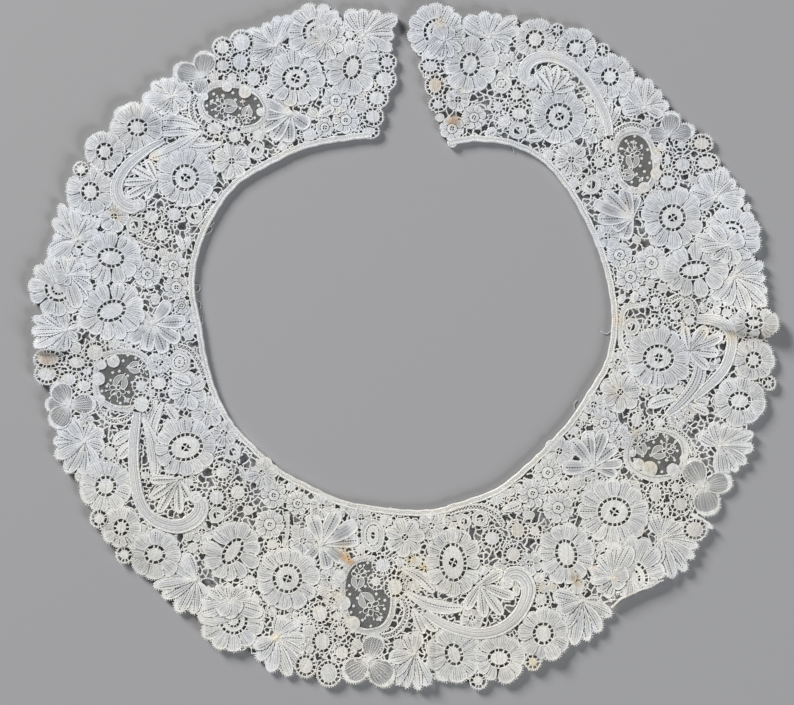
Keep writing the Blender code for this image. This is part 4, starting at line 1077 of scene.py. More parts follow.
# ------------------------------------------------------------------ make the motifs
# Each motif is tucked under those made before it, so the ones that lie on top come first.
def turned_cup(row):
    """The folded side of a turned flower: thin leaves over its own middle, long leaves out to the rim."""
    eye, cup, leaves = row[10:]
    begin()
    for tip in cup:
        far = math.hypot(tip[0] - eye[0], tip[1] - eye[1])
        net_lobe(eye, tip, 3.0, min(0.52 * far, 7.6), z0=0.92, um=0.60, veins=5, tone=0.60, cord=0.66, gaps=0.0,
                 power=2.6)
    spray(eye[0], eye[1], leaves, z0=0.84)


def turned_flower(row):
    x, y, reach, petals, first, c1, r1, c2, r2, arc = row[:10]
    begin()
    for k in range(petals):
        a = math.radians(first + 360.0 * (k + 0.08 * rng.standard_normal()) / petals)
        tip = np.array((x + (reach + 0.5) * math.cos(a), y - (reach + 0.5) * math.sin(a)))
        d = tip - np.array(c1)
        b = math.atan2(-d[1], d[0])
        shown = (math.degrees(b) - arc[0]) % 360 <= (arc[1] - arc[0]) % 360
        start = r1 + 2.1 if shown else 3.0
        base = np.array((c1[0] + start * math.cos(b), c1[1] - start * math.sin(b)))
        far = float(np.hypot(*d))
        if far - start < 6:
            continue
        w1 = math.pi * (r1 + 1.7 + 0.6 * (reach - r1 - 1.7)) / petals * 1.12
        lobe(base, tip, math.pi * start / petals, w1, z0=0.70 + 0.06 * (k % 2), um=0.6, warm=0.3,
             dotted=(2,) if rng.random() < 0.4 else ())
    arc_cord(c1[0], c1[1], r1 + 2.0, r1 + 2.0, 0, arc=arc)
    ladder(c1[0], c1[1], r1, r1, 0, inside=1.6, outside=1.6, spacing=4.7, half=0.66, arc=arc)
    oval(c1[0], c1[1], r1 - 1.6, z0=0.64, dome=0.05, warm=0.4, eye=(r2 + 1.0) / (r1 - 1.6))
    ladder(c2[0], c2[1], r2, r2, 0, inside=1.0, outside=1.0, spacing=2.8, half=0.6, arc=arc)
    oval(c2[0], c2[1], r2 - 0.9, z0=0.66, dome=0.1, warm=0.5)
    cover_disc(x, y, reach * 0.8)


cover_polygon(FOLD_BEHIND)
behind = covered.copy()
for row in TURNED:
    turned_cup(row)
for eye, lobes in SHEERS:
    begin()
    for tx, ty, w in lobes:
        net_lobe(eye, (tx, ty), 1.6, w, um=0.52, veins=7)
    oval(eye[0], eye[1], 2.2, z0=0.9, dome=0.15, warm=0.75, tone=1.03, clean=True, cover=False, edge=False)
scroll_grounds = []
for path, halves, base, tips in SCROLLS:
    begin()
    if halves[-1] > halves[0]:
        # the hook ends in a round coil
        oval(path[-1][0], path[-1][1], 6.6, 6.2, z0=0.90, dome=0.25, warm=0.35, eye=0.5)
        oval(path[-1][0], path[-1][1], 2.9, 2.7, z0=0.96, dome=0.2, warm=0.35)
    strip(path, halves, z0=0.84, ribs=5, warm=0.3, cord=0.95, dome=0.20, relief=0.9, rim=0.28, tone=1.0)
    for tip in tips:
        wide = tip[2] if len(tip) > 2 else 4.8
        lobe(base, tip[:2], 1.2, wide, z0=0.74, um=0.68, ribs=2 if wide < 5 else 4, dotted=(1,) if wide < 5 else (2,),
             warm=0.4, cord=0.9, dome=0.15, relief=1.2, power=2.4, sides=0.9, root=0.3, tone=1.03)
    bud(base[0], base[1], 3.0)
    xs, ys = [base[0]] + [t[0] for t in tips], [base[1]] + [t[1] for t in tips]
    scroll_grounds.append((float(np.mean(xs)), float(np.mean(ys)), 19.0))
for row in PLAQUES:
    plaque(*row)
for x, y, r in EDGE_LOOPS:
    plaque(x, y, r, r)
# the plaques come before the insets, whose frames stop at them
# ------------------------------------------------------------------ needle-lace insets
def inset_outline(cx, cy, hw, hd, turn, grow, count=40):
    a = np.arange(count) * 2 * np.pi / count
    c, s = np.cos(a), np.sin(a)
    x = (hw + grow) * np.sign(c) * np.abs(c) ** 0.86
    y = (hd + grow) * np.sign(s) * np.abs(s) ** 0.86
    t = math.radians(turn)
    return np.stack([cx + x * math.cos(t) - y * math.sin(t), cy - x * math.sin(t) - y * math.cos(t)], axis=1)


def inside_oval(x, y, cx, cy, hw, hd, turn):
    t = math.radians(turn)
    dx, dy = x - cx, cy - y
    lx, ly = dx * math.cos(t) + dy * math.sin(t), -dx * math.sin(t) + dy * math.cos(t)
    return np.abs(lx / hw) ** (2 / 0.86) + np.abs(ly / hd) ** (2 / 0.86) < 1


def bell(piece, x, y, s, facing, stalks=4):
    """A bell flower of needle lace: a cup of two leaves, an eye, small open petals and stalks with dots."""
    f = math.radians(facing)
    ux, uy = math.cos(f), -math.sin(f)
    vx_, vy_ = -math.sin(f), -math.cos(f)

    def at(u, v):
        return np.array((x + s * (u * ux + v * vx_), y + s * (u * uy + v * vy_)))

    for side in (-1, 1):
        net_patch(piece, at(-11.6, 0.1 * side), at(2.2, 4.4 * side), 0.7 * s, 3.0 * s, -1.7 * side * s)
    eye = [at(1.6 + 2.2 * math.cos(a), 1.9 * math.sin(a)) for a in np.linspace(0, 2 * np.pi, 8, endpoint=False)]
    cord_line(eye, half=0.58, z0=0.64, high=0.2, closed=True, warm=0.6, piece=piece, pitch=1.1, tone=1.1)
    for turn, far in ((-70, 5.4), (-25, 6.6), (25, 6.6), (70, 5.4)):
        t = math.radians(turn)
        ring = []
        for a in np.linspace(0, 2 * np.pi, 8, endpoint=False):
            p, q = far + 3.1 * math.cos(a), 2.15 * math.sin(a)
            ring.append(at(1.6 + p * math.cos(t) - q * math.sin(t), p * math.sin(t) + q * math.cos(t)))
        cord_line(ring, half=0.40, z0=0.52, high=0.16, closed=True, warm=0.5, piece=piece, pitch=1.2, tone=1.04)
    for turn, far in ((-88, 10.5), (-54, 12.4), (-18, 13.2), (18, 13.2), (54, 12.4), (88, 10.5))[:stalks + 1]:
        t, b = math.radians(turn), math.radians(turn * 0.93)
        ends = [at(1.6 + r * math.cos(w), r * math.sin(w)) for r, w in ((8.0, b), (0.5 * (8 + far), t), (far, t))]
        cord_line(ends, half=0.34, z0=0.50, high=0.16, warm=0.5, piece=piece, pitch=1.5, tone=1.0)
        oval(ends[2][0], ends[2][1], 1.35, z0=0.5, dome=0.12, warm=0.6, piece=piece, cover=False, clean=True,
             edge=False)
    cord_line([at(-10.5, 0), at(-12.4, 0.4), at(-14.0, 1.6)], half=0.42, z0=0.48, high=0.18, warm=0.6, piece=piece,
              pitch=1.4)


def net_patch(piece, base, tip, w0, w1, bend):
    """A petal of close needle stitch with an outline cord."""
    leaf = Leaf(base, tip, w0, w1, 0.5, bend, 2.0)
    cols, rows = 6, 10
    v, s_ = np.linspace(-0.95, 0.95, cols), np.linspace(0.02, 0.98, rows)
    u = s_[:, None] * leaf.end(v)[None, :]
    xy = leaf.at(u, v[None, :] * leaf.width(u))
    z = np.full(xy.shape[:2], 0.46) + 0.06 * (1 - v ** 2)[None, :]
    tn = 0.44 + 0.04 * rng.standard_normal(z.size)
    piece.add(np.concatenate([xy, z[..., None]], axis=-1).reshape(-1, 3), tn, 0.35, grid_faces(rows, cols))
    cord_line(leaf.outline(0.2), half=0.38, z0=0.5, high=0.18, tone=1.06, warm=0.5, piece=piece)


def trefoil(piece, x, y, s, facing):
    f = math.radians(facing)
    for k in (-1, 0, 1):
        a = f + math.radians(62 * k)
        lobe((x, y), (x + s * math.cos(a), y - s * math.sin(a)), 0.5, s * 0.30, z0=0.5, um=0.55, ribs=2, dotted=(),
             cord=0.45, cover=False, piece=piece, dome=0.05, pitch=1.6)
    b = f + math.pi
    cord_line([(x, y), (x + 0.6 * s * math.cos(b), y - 0.6 * s * math.sin(b)),
               (x + 1.2 * s * math.cos(b + 0.3), y - 1.2 * s * math.sin(b + 0.3))], half=0.42, z0=0.46, high=0.22,
              piece=piece, pitch=1.5)


def inset_frame(path, mid, closed):
    """The frame of an inset: a soft braid with a row of pinholes, whose width and run wander."""
    t = np.arange(len(path)) * 2.4
    out = path - mid
    out = out / np.hypot(out[:, 0], out[:, 1])[:, None]
    a, b = rng.uniform(0, 6.3, 2)
    path = path + out * (0.35 * np.sin(t / 5.3 + a) + 0.25 * rng.standard_normal(len(t)))[:, None]
    wide = 2.7 + 0.45 * np.sin(t / 7.1 + b) + 0.25 * rng.standard_normal(len(t))
    strip(path, np.clip(wide, 1.9, 3.5), z0=0.68, ribs=4, dotted=(1,), warm=0.45, cord=0.40, closed=closed, cover=False,
          tone=0.97, rim=0.05, relief=0.9)


inset_pieces = {}
for name, cx, cy, hw, hd, turn, bumps, flowers, leaflets in INSETS:
    piece = Piece()
    piece.groove = NET
    inset_pieces[name] = piece
    pitch = 1.5
    pts = []
    for i in range(-int(45 / pitch), int(45 / pitch)):
        for j in range(-int(45 / pitch), int(45 / pitch)):
            pts.append((cx + (i + 0.5 * (j % 2)) * pitch, cy + j * pitch * 0.866))
    pts = np.array(pts)
    pts = pts[inside_oval(pts[:, 0], pts[:, 1], cx, cy, hw - 0.6, hd - 0.6, turn)]
    pts = pts + 0.07 * rng.standard_normal(pts.shape)
    for ang in (0, 60, 120):
        b = math.radians(ang)
        d = np.array((math.cos(b), -math.sin(b)))
        n = np.array((-d[1], d[0])) * 0.18
        p0, p1 = pts, pts + d * pitch
        quad = np.stack([p0 - n, p0 + n, p1 + n, p1 - n], axis=1)
        z = np.full(quad.shape[:2], 0.36 + 0.02 * ang / 60)
        piece.add(np.concatenate([quad, z[..., None]], axis=-1).reshape(-1, 3), 0.06, 0.2,
                  np.arange(len(pts) * 4).reshape(-1, 4))
    cord_line(inset_outline(cx, cy, hw, hd, turn, -0.6), half=0.8, z0=0.4, high=0.2, closed=True, warm=0.6,
              piece=piece)
    for fx, fy, size, facing, stalks in flowers:
        bell(piece, fx, fy, size, facing, stalks)
    for lx, ly, size, facing in leaflets:
        trefoil(piece, lx, ly, size, facing)
    # round dots scattered evenly over the net
    dots = []
    for k in range(900):
        a, r = rng.uniform(0, 2 * math.pi), math.sqrt(rng.uniform(0.0, 0.86))
        px, py = cx + r * hw * math.cos(a), cy + r * hd * math.sin(a)
        if any(math.hypot(px - q[0], py - q[1]) < 6.8 for q in dots):
            continue
        taken = False
        for fx, fy, size, facing, _ in flowers:
            f = math.radians(facing)
            mx, my = fx - 1.0 * size * math.cos(f), fy + 1.0 * size * math.sin(f)
            taken |= math.hypot(px - mx, py - my) < 9.5 * size
        for lx, ly, size, _ in leaflets:
            taken |= math.hypot(px - lx, py - ly) < size + 1.5
        for bx, by, br in bumps:
            taken |= math.hypot(px - bx, py - by) < br + 1.0
        if not taken:
            dots.append((px, py))
            oval(px, py, 1.8, z0=0.5, dome=0.12, warm=0.5, piece=piece, cover=False, clean=True, edge=False)
    begin()
    # the bobbin-lace frame round the opening, left out where a plaque lies over it
    frame_path, _ = resample(inset_outline(cx, cy, hw, hd, turn, 2.2, 30), np.ones(30), 2.4, True)
    over = np.zeros(len(frame_path), bool)
    for px, py, rx, ry in PLAQUES:
        over |= np.hypot((frame_path[:, 0] - px) / (rx - 1.0), (frame_path[:, 1] - py) / (ry - 1.0)) < 1
    if over.any():
        start = int(np.nonzero(over)[0][0])
        order = np.roll(np.arange(len(frame_path)), -start)
        runs, run = [], []
        for k in order:
            if over[k]:
                if len(run) > 3:
                    runs.append(run)
                run = []
            else:
                run.append(k)
        if len(run) > 3:
            runs.append(run)
        for run in runs:
            inset_frame(frame_path[run], (cx, cy), False)
    else:
        inset_frame(frame_path, (cx, cy), True)
    cover_polygon(inset_outline(cx, cy, hw, hd, turn, 4.0))
    for bx, by, r in bumps:
        away = np.array((bx - cx, by - cy))
        away = away / np.hypot(*away)
        bx, by = np.array((bx, by)) + away * 2.2
        # a short round leaf that grows out of the frame, with its own rim on the side of the net
        root_ = np.array((bx, by)) + away * r * 0.8
        lobe(root_, np.array((bx, by)) - away * r * 0.95, 0.75 * r, 0.95 * r, z0=0.73, dome=0.18, um=0.42, warm=0.3,
             cord=0.5, cover=False, tone=0.99, rib_pitch=2.2, sides=0.25, root=0.5, contrast=0.42)


for row in TURNED:
    turned_flower(row)
for x, y, reach, petals, first, ring, aspect, centre in ROSETTES:
    flower(x, y, reach + 0.8, petals, first, ring, aspect, four=centre == "four", dotted=0.25)
for x, y, reach, petals, first, ring, aspect in DAISIES:
    flower(x, y, reach + 0.4, petals, first, ring, aspect, warm=0.35, dotted=0.2)
begin()
strip(*WIDE_BRAID, z0=0.76, ribs=4, dotted=(1, 3), warm=0.35, cord=0.8, rim=0.2, dome=0.12)
for base, tip, half, bend in LEAVES:
    begin()
    lobe(base, tip, 1.8, half, z0=0.78, um=0.6, bend=bend, dotted=(2,), warm=0.35, cord=0.80, dome=0.2,
         rib_pitch=2.6, sides=0.9, root=0.8, contrast=0.72, tone=1.02)
for x, y, tips in SPRAYS:
    spray(x, y, tips, warm=0.30)
for x, y, tips in FANS:
    fan(x, y, tips)
for x, y, reach, ring in ROSES:
    rose(x, y, reach, ring)


def small_flower(x, y, reach, n, first=None):
    begin()
    w1 = math.pi * reach * 0.62 / n * 1.2
    hole = 3.8
    first = rng.uniform(0, 50) if first is None else first
    for k in range(n):
        a = math.radians(first + 360.0 * k / n)
        lobe((x + hole * math.cos(a), y - hole * math.sin(a)), (x + reach * math.cos(a), y - reach * math.sin(a)),
             2.2, w1, z0=0.70 + 0.05 * (k % 2), warm=0.35, um=0.58, dotted=(2,) if rng.random() < 0.3 else ())
    arc_cord(x, y, hole, hole, 0, half=0.6)
    for k in range(4):
        a = math.radians(45 + 90 * k + first)
        bar((x, y), (x + hole * math.cos(a), y - hole * math.sin(a)), half=0.5, z0=0.5)
    cover_disc(x, y, reach * 0.8)


for x, y, reach, n in SMALL_FLOWERS:
    small_flower(x, y, reach, n)
for x, y, rx, ry in RINGS:
    loop_ring(x, y, rx, ry)
for path in ARCS:
    path = np.asarray(path, float)
    pts, _ = resample(path, np.ones(len(path)), 1.6)
    n = normals(pts, False)
    begin()
    cord_line(pts[::2] + 2.7 * n[::2], half=1.15, z0=0.62, high=0.2, skirt=True, warm=0.5, clip=under, tone=0.98)
    cord_line(pts[::2] - 2.2 * n[::2], half=1.0, z0=0.60, high=0.2, skirt=True, warm=0.5, clip=under, tone=0.98)
    for i in range(0, len(pts) - 1):
        here, there = (-1.6, 2.1) if i % 2 else (2.1, -1.6)
        bar(pts[i] + here * n[i], pts[i + 1] + there * n[i + 1], half=0.42, z0=0.45, clip=under)
    for i in range(len(pts) - 1):
        cover_polygon([pts[i] - 3.2 * n[i], pts[i] + 3.7 * n[i], pts[i + 1] + 3.7 * n[i + 1], pts[i + 1] - 3.2 * n[i + 1]])
for path, half in BRAIDS:
    begin()
    strip(path, half, z0=0.66, ribs=2, warm=0.5, cord=0.5, rim=0.12, tone=0.99)
for x, y, r in BUDS:
    bud(x, y, r * 0.92, ry=r * rng.uniform(0.75, 1.0), rot=rng.uniform(0, 180))

print("motifs", [s.triangles() for s in SECTORS])

# ------------------------------------------------------------------ small filling motifs in the gaps that are left
gy, gx = np.mgrid[0:MAP_H, 0:MAP_W] / MAP_K
gb, gr = polar(gx, gy)
panel_area = (gr > neck_radius(gb) + 3.4) & (gr < body_radius(gb) + 1.0) & (gb < 88.2) & (gb > -268.4)
LEFT_FRONT = [(397.5, 15), (399.5, 22), (396, 31), (395, 38), (393.5, 46), (394.5, 58), (395, 68), (395.5, 80),
              (392, 90), (388, 99), (383, 107), (382, 117), (378, 127), (374, 133)]
RIGHT_FRONT = [(450, 139.5), (443, 134), (441, 125), (437, 118), (429, 108), (430, 98), (426, 84), (419, 75),
               (418, 65), (415, 56), (410, 44), (407, 33), (408, 23), (412.5, 15.5)]
lf, rf = np.array(LEFT_FRONT, float), np.array(RIGHT_FRONT[::-1], float)
left_limit = np.interp(gy[:, 0], lf[:, 1], lf[:, 0])
right_limit = np.interp(gy[:, 0], rf[:, 1], rf[:, 0])
upper = gy < 150
panel_area &= ~(upper & (gx > left_limit[:, None] - 1.5) & (gx < right_limit[:, None] + 1.5))
filled = covered.copy()
for zx, zy, zr in scroll_grounds + OPEN_GROUND:
    filled |= np.hypot(gx - zx, gy - zy) < zr
before = covered
covered = filled
for _ in range(60):
    # the widest free squares, found by shrinking the free area step by step
    level, shrunk = 0, panel_area & ~covered
    last = shrunk
    while shrunk.any() and level < 40:
        last = shrunk
        s = shrunk
        shrunk = s[1:-1, 1:-1] & s[:-2, 1:-1] & s[2:, 1:-1] & s[1:-1, :-2] & s[1:-1, 2:]
        shrunk = np.pad(shrunk, 1)
        level += 1
    if level < 12:
        break
    ys, xs = np.nonzero(last)
    taken = np.zeros(len(xs), bool)
    for k in range(len(xs)):
        if taken[k]:
            continue
        x, y = xs[k] / MAP_K, ys[k] / MAP_K
        taken |= np.hypot(xs / MAP_K - x, ys / MAP_K - y) < 10
        r = level / MAP_K + 0.4
        if r > 9.0:
            small_flower(x, y, r + 1.5, 6)
        elif r > 6.4:
            plaque(x, y, r + 0.4, (r + 0.4) * rng.uniform(0.88, 1.0))
        elif r > 4.9 and rng.random() < 0.75:
            # a few short leaves from one point
            turn = rng.uniform(0, 360)
            for m in range(3):
                a = math.radians(turn + 120 * m + rng.uniform(-14, 14))
                lobe((x + 0.5 * math.cos(a), y - 0.5 * math.sin(a)), (x + (r + 2.2) * math.cos(a), y - (r + 2.2) * math.sin(a)),
                     0.8, r * 0.60, z0=0.64, um=0.55, ribs=3, cord=0.55, warm=rng.uniform(0.2, 0.7), dome=0.15)
        elif rng.random() < 0.45:
            a = rng.uniform(0, 2 * math.pi)
            d = np.array((math.cos(a), -math.sin(a))) * (r + 1.2)
            lobe(np.array((x, y)) - d, np.array((x, y)) + d, 1.0, r * 0.55, z0=0.62, um=0.6, ribs=3, cord=0.6,
                 warm=rng.uniform(0.2, 0.7))
        cover_disc(x, y, r + 0.8)
after = covered & ~behind
# the places left open on purpose go back to being free ground
covered = before
print("fill", [s.triangles() for s in SECTORS])

# ------------------------------------------------------------------ bars across the gaps
seeds = []
far_in = np.zeros(covered.shape, np.float32)          # how far inside a gap each place is
shrunk = ~covered
for _ in range(14):
    shrunk = shrunk[1:-1, 1:-1] & shrunk[:-2, 1:-1] & shrunk[2:, 1:-1] & shrunk[1:-1, :-2] & shrunk[1:-1, 2:]
    shrunk = np.pad(shrunk, 1)
    far_in += shrunk / MAP_K
wide = far_in[::MAP_K, ::MAP_K]
taken = np.ones(wide.shape, bool)
sy, sx = np.mgrid[0:wide.shape[0], 0:wide.shape[1]].astype(float)
sb, sr = polar(sx, sy)
taken[(sr > neck_radius(sb) - 6) & (sr < body_radius(sb) + 12)] = False
order = rng.permutation(taken.size)
for k in order:
    j, i = divmod(int(k), taken.shape[1])
    if taken[j, i]:
        continue
    reach = min(3.1 + 0.38 * wide[max(0, j - 3):j + 4, max(0, i - 3):i + 4].max(), 5.0) * rng.uniform(0.6, 1.35)
    x, y = i + rng.uniform(-0.5, 0.5), j + rng.uniform(-0.5, 0.5)
    seeds.append(Vector((x, y)))
    m = int(reach) + 2
    j0, j1, i0, i1 = max(0, j - m), j + m + 1, max(0, i - m), i + m + 1
    taken[j0:j1, i0:i1] |= np.hypot(sx[j0:j1, i0:i1] - x, sy[j0:j1, i0:i1] - y) < reach
verts, _, faces, _, _, _ = delaunay_2d_cdt(seeds, [], [], 0, 1e-4)
vx = np.array([(v[0], v[1]) for v in verts])
tri = np.array([f for f in faces if len(f) == 3])
share = rng.dirichlet((1.8, 1.8, 1.8), len(tri))        # a place inside each triangle, not its middle
mid = (vx[tri] * share[..., None]).sum(axis=1)
owner, bars = {}, []
for t, f in enumerate(tri):
    for a, b in ((f[0], f[1]), (f[1], f[2]), (f[2], f[0])):
        key = (min(a, b), max(a, b))
        if key in owner:
            bars.append((owner[key], t))
        else:
            owner[key] = t


def look(grid, p):
    i, j = int(p[1] * MAP_K), int(p[0] * MAP_K)
    return 0 <= i < MAP_H and 0 <= j < MAP_W and bool(grid[i, j])


used = []
for a, b in bars:
    p, q = mid[a], mid[b]
    if np.hypot(*(p - q)) > 10 or not (look(panel_area, p) and look(panel_area, q)):
        continue
    if not all(look(covered, p + (q - p) * t) for t in (0.0, 0.2, 0.4, 0.6, 0.8, 1.0)):
        used.append((a, b))
meet = np.bincount(np.array(used).ravel(), minlength=len(mid))
joints = set()
for a, b in used:
    if rng.random() < 0.14 and meet[a] > 2 and meet[b] > 2:
        # one bar fewer, so that two gaps run together
        meet[a] -= 1
        meet[b] -= 1
        continue
    p, q = mid[a], mid[b]
    half = 0.68 * rng.uniform(0.65, 1.4)
    d = (q - p) / np.hypot(*(q - p))
    # the bars are not straight: each one bends a little
    m = (p + q) / 2 + np.array((-d[1], d[0])) * np.hypot(*(q - p)) * np.clip(0.15 * rng.standard_normal(), -0.3, 0.3)
    bar(p, m, half=half, z0=0.46, high=0.24, tone=1.06)
    bar(m, q, half=half, z0=0.46, high=0.24, tone=1.06)
    joints.update((a, b))
    if rng.random() < 0.16:
        # a small picot on the bar
        bar(m, m + np.array((-d[1], d[0])) * rng.choice((-1.6, 1.6)), half=0.45, z0=0.46, high=0.2, tone=1.02)
for a in sorted(joints):
    # the round knot where bars meet
    x, y = mid[a]
    if not look(covered, (x, y)):
        ring = ellipse_points(x, y, 1.0, 1.0, 0, np.arange(6) * np.pi / 3 + rng.uniform(0, 1))
        pts = [(x, y, 0.74)] + [(px, py, 0.50) for px, py in ring]
        # painted highlight and shade: the knot is drawn lighter in the middle and darker round its low rim
        sector(x, y).add(pts, [1.06] + [0.74] * 6, 0.55, tris=[(0, k + 1, (k + 1) % 6 + 1) for k in range(6)])
print("bars", len(used))

# ------------------------------------------------------------------ picots round the outside and the fronts
def picot(p, out, reach=1.5, half=0.5):
    bar(p - out * 1.1, p + out * reach, half=half, z0=0.46, high=0.2, tone=1.04, warm=0.6, point=0.35)


bearings = np.arange(88.6, -268.9, -0.05)
outer_r = np.zeros(len(bearings))
rr = np.arange(395, 280, -0.5)
for k, b in enumerate(bearings):
    x, y = place(b, rr)
    i, j = np.clip((y * MAP_K).astype(int), 0, MAP_H - 1), np.clip((x * MAP_K).astype(int), 0, MAP_W - 1)
    hit = np.nonzero(after[i, j])[0]
    outer_r[k] = rr[hit[0]] if len(hit) else body_radius(b)
ox, oy = place(bearings, outer_r)
edge_line = np.stack([ox, oy], axis=1)
fold_line, _ = resample(np.array(FOLD_EDGE, float), np.ones(len(FOLD_EDGE)), 1.0)
step = np.hypot(*np.diff(edge_line, axis=0).T)
run = np.concatenate([[0], np.cumsum(np.minimum(step, 6))])
count = int(run[-1] / 2.4)
for g in np.linspace(0, run[-1], count):
    k = int(np.searchsorted(run, g))
    k = min(max(k, 4), len(edge_line) - 5)
    p = edge_line[k]
    if np.hypot(*(fold_line - p).T).min() < 2.5:
        continue
    d = edge_line[k + 4] - edge_line[k - 4]
    length = np.hypot(*d)
    radial = np.array((math.cos(math.radians(bearings[k])), -math.sin(math.radians(bearings[k]))))
    out = np.array((d[1], -d[0])) / max(length, 1e-6)
    if out @ radial < 0:
        out = -out
    if length < 0.2 or length > 8:
        out = radial
    picot(p, out, reach=1.5 + 0.3 * rng.standard_normal(), half=0.85)
for row in np.arange(14.0, 138.0, 2.3):
    i = int(row * MAP_K)
    for side in (-1, 1):
        cols = np.arange(403 * MAP_K, (403 + side * 60) * MAP_K, side)
        hit = np.nonzero(after[i, cols])[0]
        if len(hit):
            x = cols[hit[0]] / MAP_K
            picot(np.array((x, row)), np.array((-side, rng.uniform(-0.5, 0.5))), reach=1.3, half=0.75)

# painted shade: the folded edge's skirt is drawn a little darker at its foot
cord_line(np.array(FOLD_EDGE, float) + (-0.4, -0.6), half=np.array([1.0, 1.1, 1.3, 1.3, 1.2, 1.1, 0.8]), z0=0.66,
          high=0.22, tone=0.98, warm=0.7, skirt=True, painted_foot_shade=0.7)

# ------------------------------------------------------------------ neck tape and a few loose threads
tape = Piece()
b = np.linspace(76.0, -260.2, 210)
x, y = place(b, neck_radius(b) + 2.5 + 0.22 * np.sin(b * 1.3) + 0.12 * rng.standard_normal(len(b)))
strip(np.stack([x, y], axis=1), 2.5, z0=0.72, ribs=2, warm=0.6, cord=0.95, relief=1.3, pitch=1.5, piece=tape,
      cover=False, tone=0.97)
b = np.linspace(76.0, -260.2, 520)
for bb in b:
    x0, y0 = place(bb, neck_radius(bb) + 1.6)
    x1, y1 = place(bb + 0.25, neck_radius(bb) + 3.4)
    bar((x0, y0), (x1, y1), half=0.42, z0=0.68, high=0.16, tone=1.0, piece=tape)
THREADS = [
    [(200, 232), (205, 229), (209, 225), (212, 229), (209, 233), (203, 235)],
    [(206, 228), (211, 226), (214, 222)],
    [(194, 284), (199, 285), (200, 289), (197, 292), (193, 291)],
    [(193, 297), (198, 300), (201, 304), (200, 309)],
    [(195, 315), (200, 316), (203, 320), (201, 325), (196, 325)],
    [(510, 145), (513, 149), (514, 153)],
    [(577, 400), (574, 404), (575, 409)],
    [(388, 512), (390, 507), (393, 509)],
    [(612, 330), (606, 334), (600, 331)],
]
for path in THREADS:
    cord_line(np.array(path, float), half=0.36, z0=0.12, high=0.2, tone=0.95, warm=0.5, pitch=1.2)

# ------------------------------------------------------------------ materials
def thread_material(name, rough=0.86, sheen=0.25, bump=0.35, weave=900.0):
    m = bpy.data.materials.new(name)
    m.use_nodes = True
    nt = m.node_tree
    bsdf = nt.nodes["Principled BSDF"]
    bsdf.inputs["Roughness"].default_value = rough
    bsdf.inputs["Sheen Weight"].default_value = sheen
    bsdf.inputs["Sheen Roughness"].default_value = 0.5
    bsdf.inputs["Specular IOR Level"].default_value = 0.25
    att = nt.nodes.new("ShaderNodeAttribute")
    att.attribute_name = "thread"
    coord = nt.nodes.new("ShaderNodeTexCoord")
    patch = nt.nodes.new("ShaderNodeTexNoise")
    patch.inputs["Scale"].default_value = 60.0
    patch.inputs["Detail"].default_value = 3.0
    fine = nt.nodes.new("ShaderNodeTexNoise")
    fine.inputs["Scale"].default_value = 1400.0
    fine.inputs["Detail"].default_value = 2.0
    ramp = nt.nodes.new("ShaderNodeMapRange")
    ramp.inputs["From Min"].default_value = 0.3
    ramp.inputs["From Max"].default_value = 0.7
    ramp.inputs["To Min"].default_value = 0.90
    ramp.inputs["To Max"].default_value = 1.06
    ramp2 = nt.nodes.new("ShaderNodeMapRange")
    ramp2.inputs["From Min"].default_value = 0.3
    ramp2.inputs["From Max"].default_value = 0.7
    ramp2.inputs["To Min"].default_value = 0.86
    ramp2.inputs["To Max"].default_value = 1.08
    mul = nt.nodes.new("ShaderNodeMath")
    mul.operation = "MULTIPLY"
    scale = nt.nodes.new("ShaderNodeVectorMath")
    scale.operation = "SCALE"
    links = nt.links
    links.new(coord.outputs["Object"], patch.inputs["Vector"])
    links.new(coord.outputs["Object"], fine.inputs["Vector"])
    links.new(patch.outputs["Fac"], ramp.inputs["Value"])
    links.new(fine.outputs["Fac"], ramp2.inputs["Value"])
    links.new(ramp.outputs["Result"], mul.inputs[0])
    links.new(ramp2.outputs["Result"], mul.inputs[1])
    links.new(att.outputs["Color"], scale.inputs[0])
    links.new(mul.outputs["Value"], scale.inputs["Scale"])
    links.new(scale.outputs["Vector"], bsdf.inputs["Base Color"])
    wave = nt.nodes.new("ShaderNodeTexVoronoi")
    wave.inputs["Scale"].default_value = weave
    b = nt.nodes.new("ShaderNodeBump")
    b.inputs["Strength"].default_value = bump
    b.inputs["Distance"].default_value = 0.0003
    links.new(coord.outputs["Object"], wave.inputs["Vector"])
    links.new(wave.outputs["Distance"], b.inputs["Height"])
    links.new(b.outputs["Normal"], bsdf.inputs["Normal"])
    return m


bobbin = thread_material("bobbin_lace")
needle = thread_material("needle_lace", rough=0.9, sheen=0.15, bump=0.25, weave=1300.0)
plait = thread_material("plaited_tape", rough=0.82, sheen=0.3, bump=0.5, weave=800.0)

panel_objects, cord_objects = [], []
for k, piece in enumerate(SECTORS):
    obj = piece.build(f"lace_repeat_{k + 1}", bobbin)
    panel_objects.append(obj)
    cords = piece.cords.build(f"outline_cords_{k + 1}", bobbin)
    cord_objects.append(cords)
    for o in (obj, cords):
        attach(o, "root")
        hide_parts("lace_panel")
    print(obj.name, piece.triangles(), piece.cords.triangles())
inset_objects = []
for name, piece in inset_pieces.items():
    obj = piece.build("needle_" + name, needle)
    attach(obj, "root")
    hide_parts(name)
    inset_objects.append(obj)
    print(obj.name, piece.triangles())
tape_object = tape.build("corded_neck_tape", plait)
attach(tape_object, "root")
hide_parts("neck_tape")
print(tape_object.name, tape.triangles())

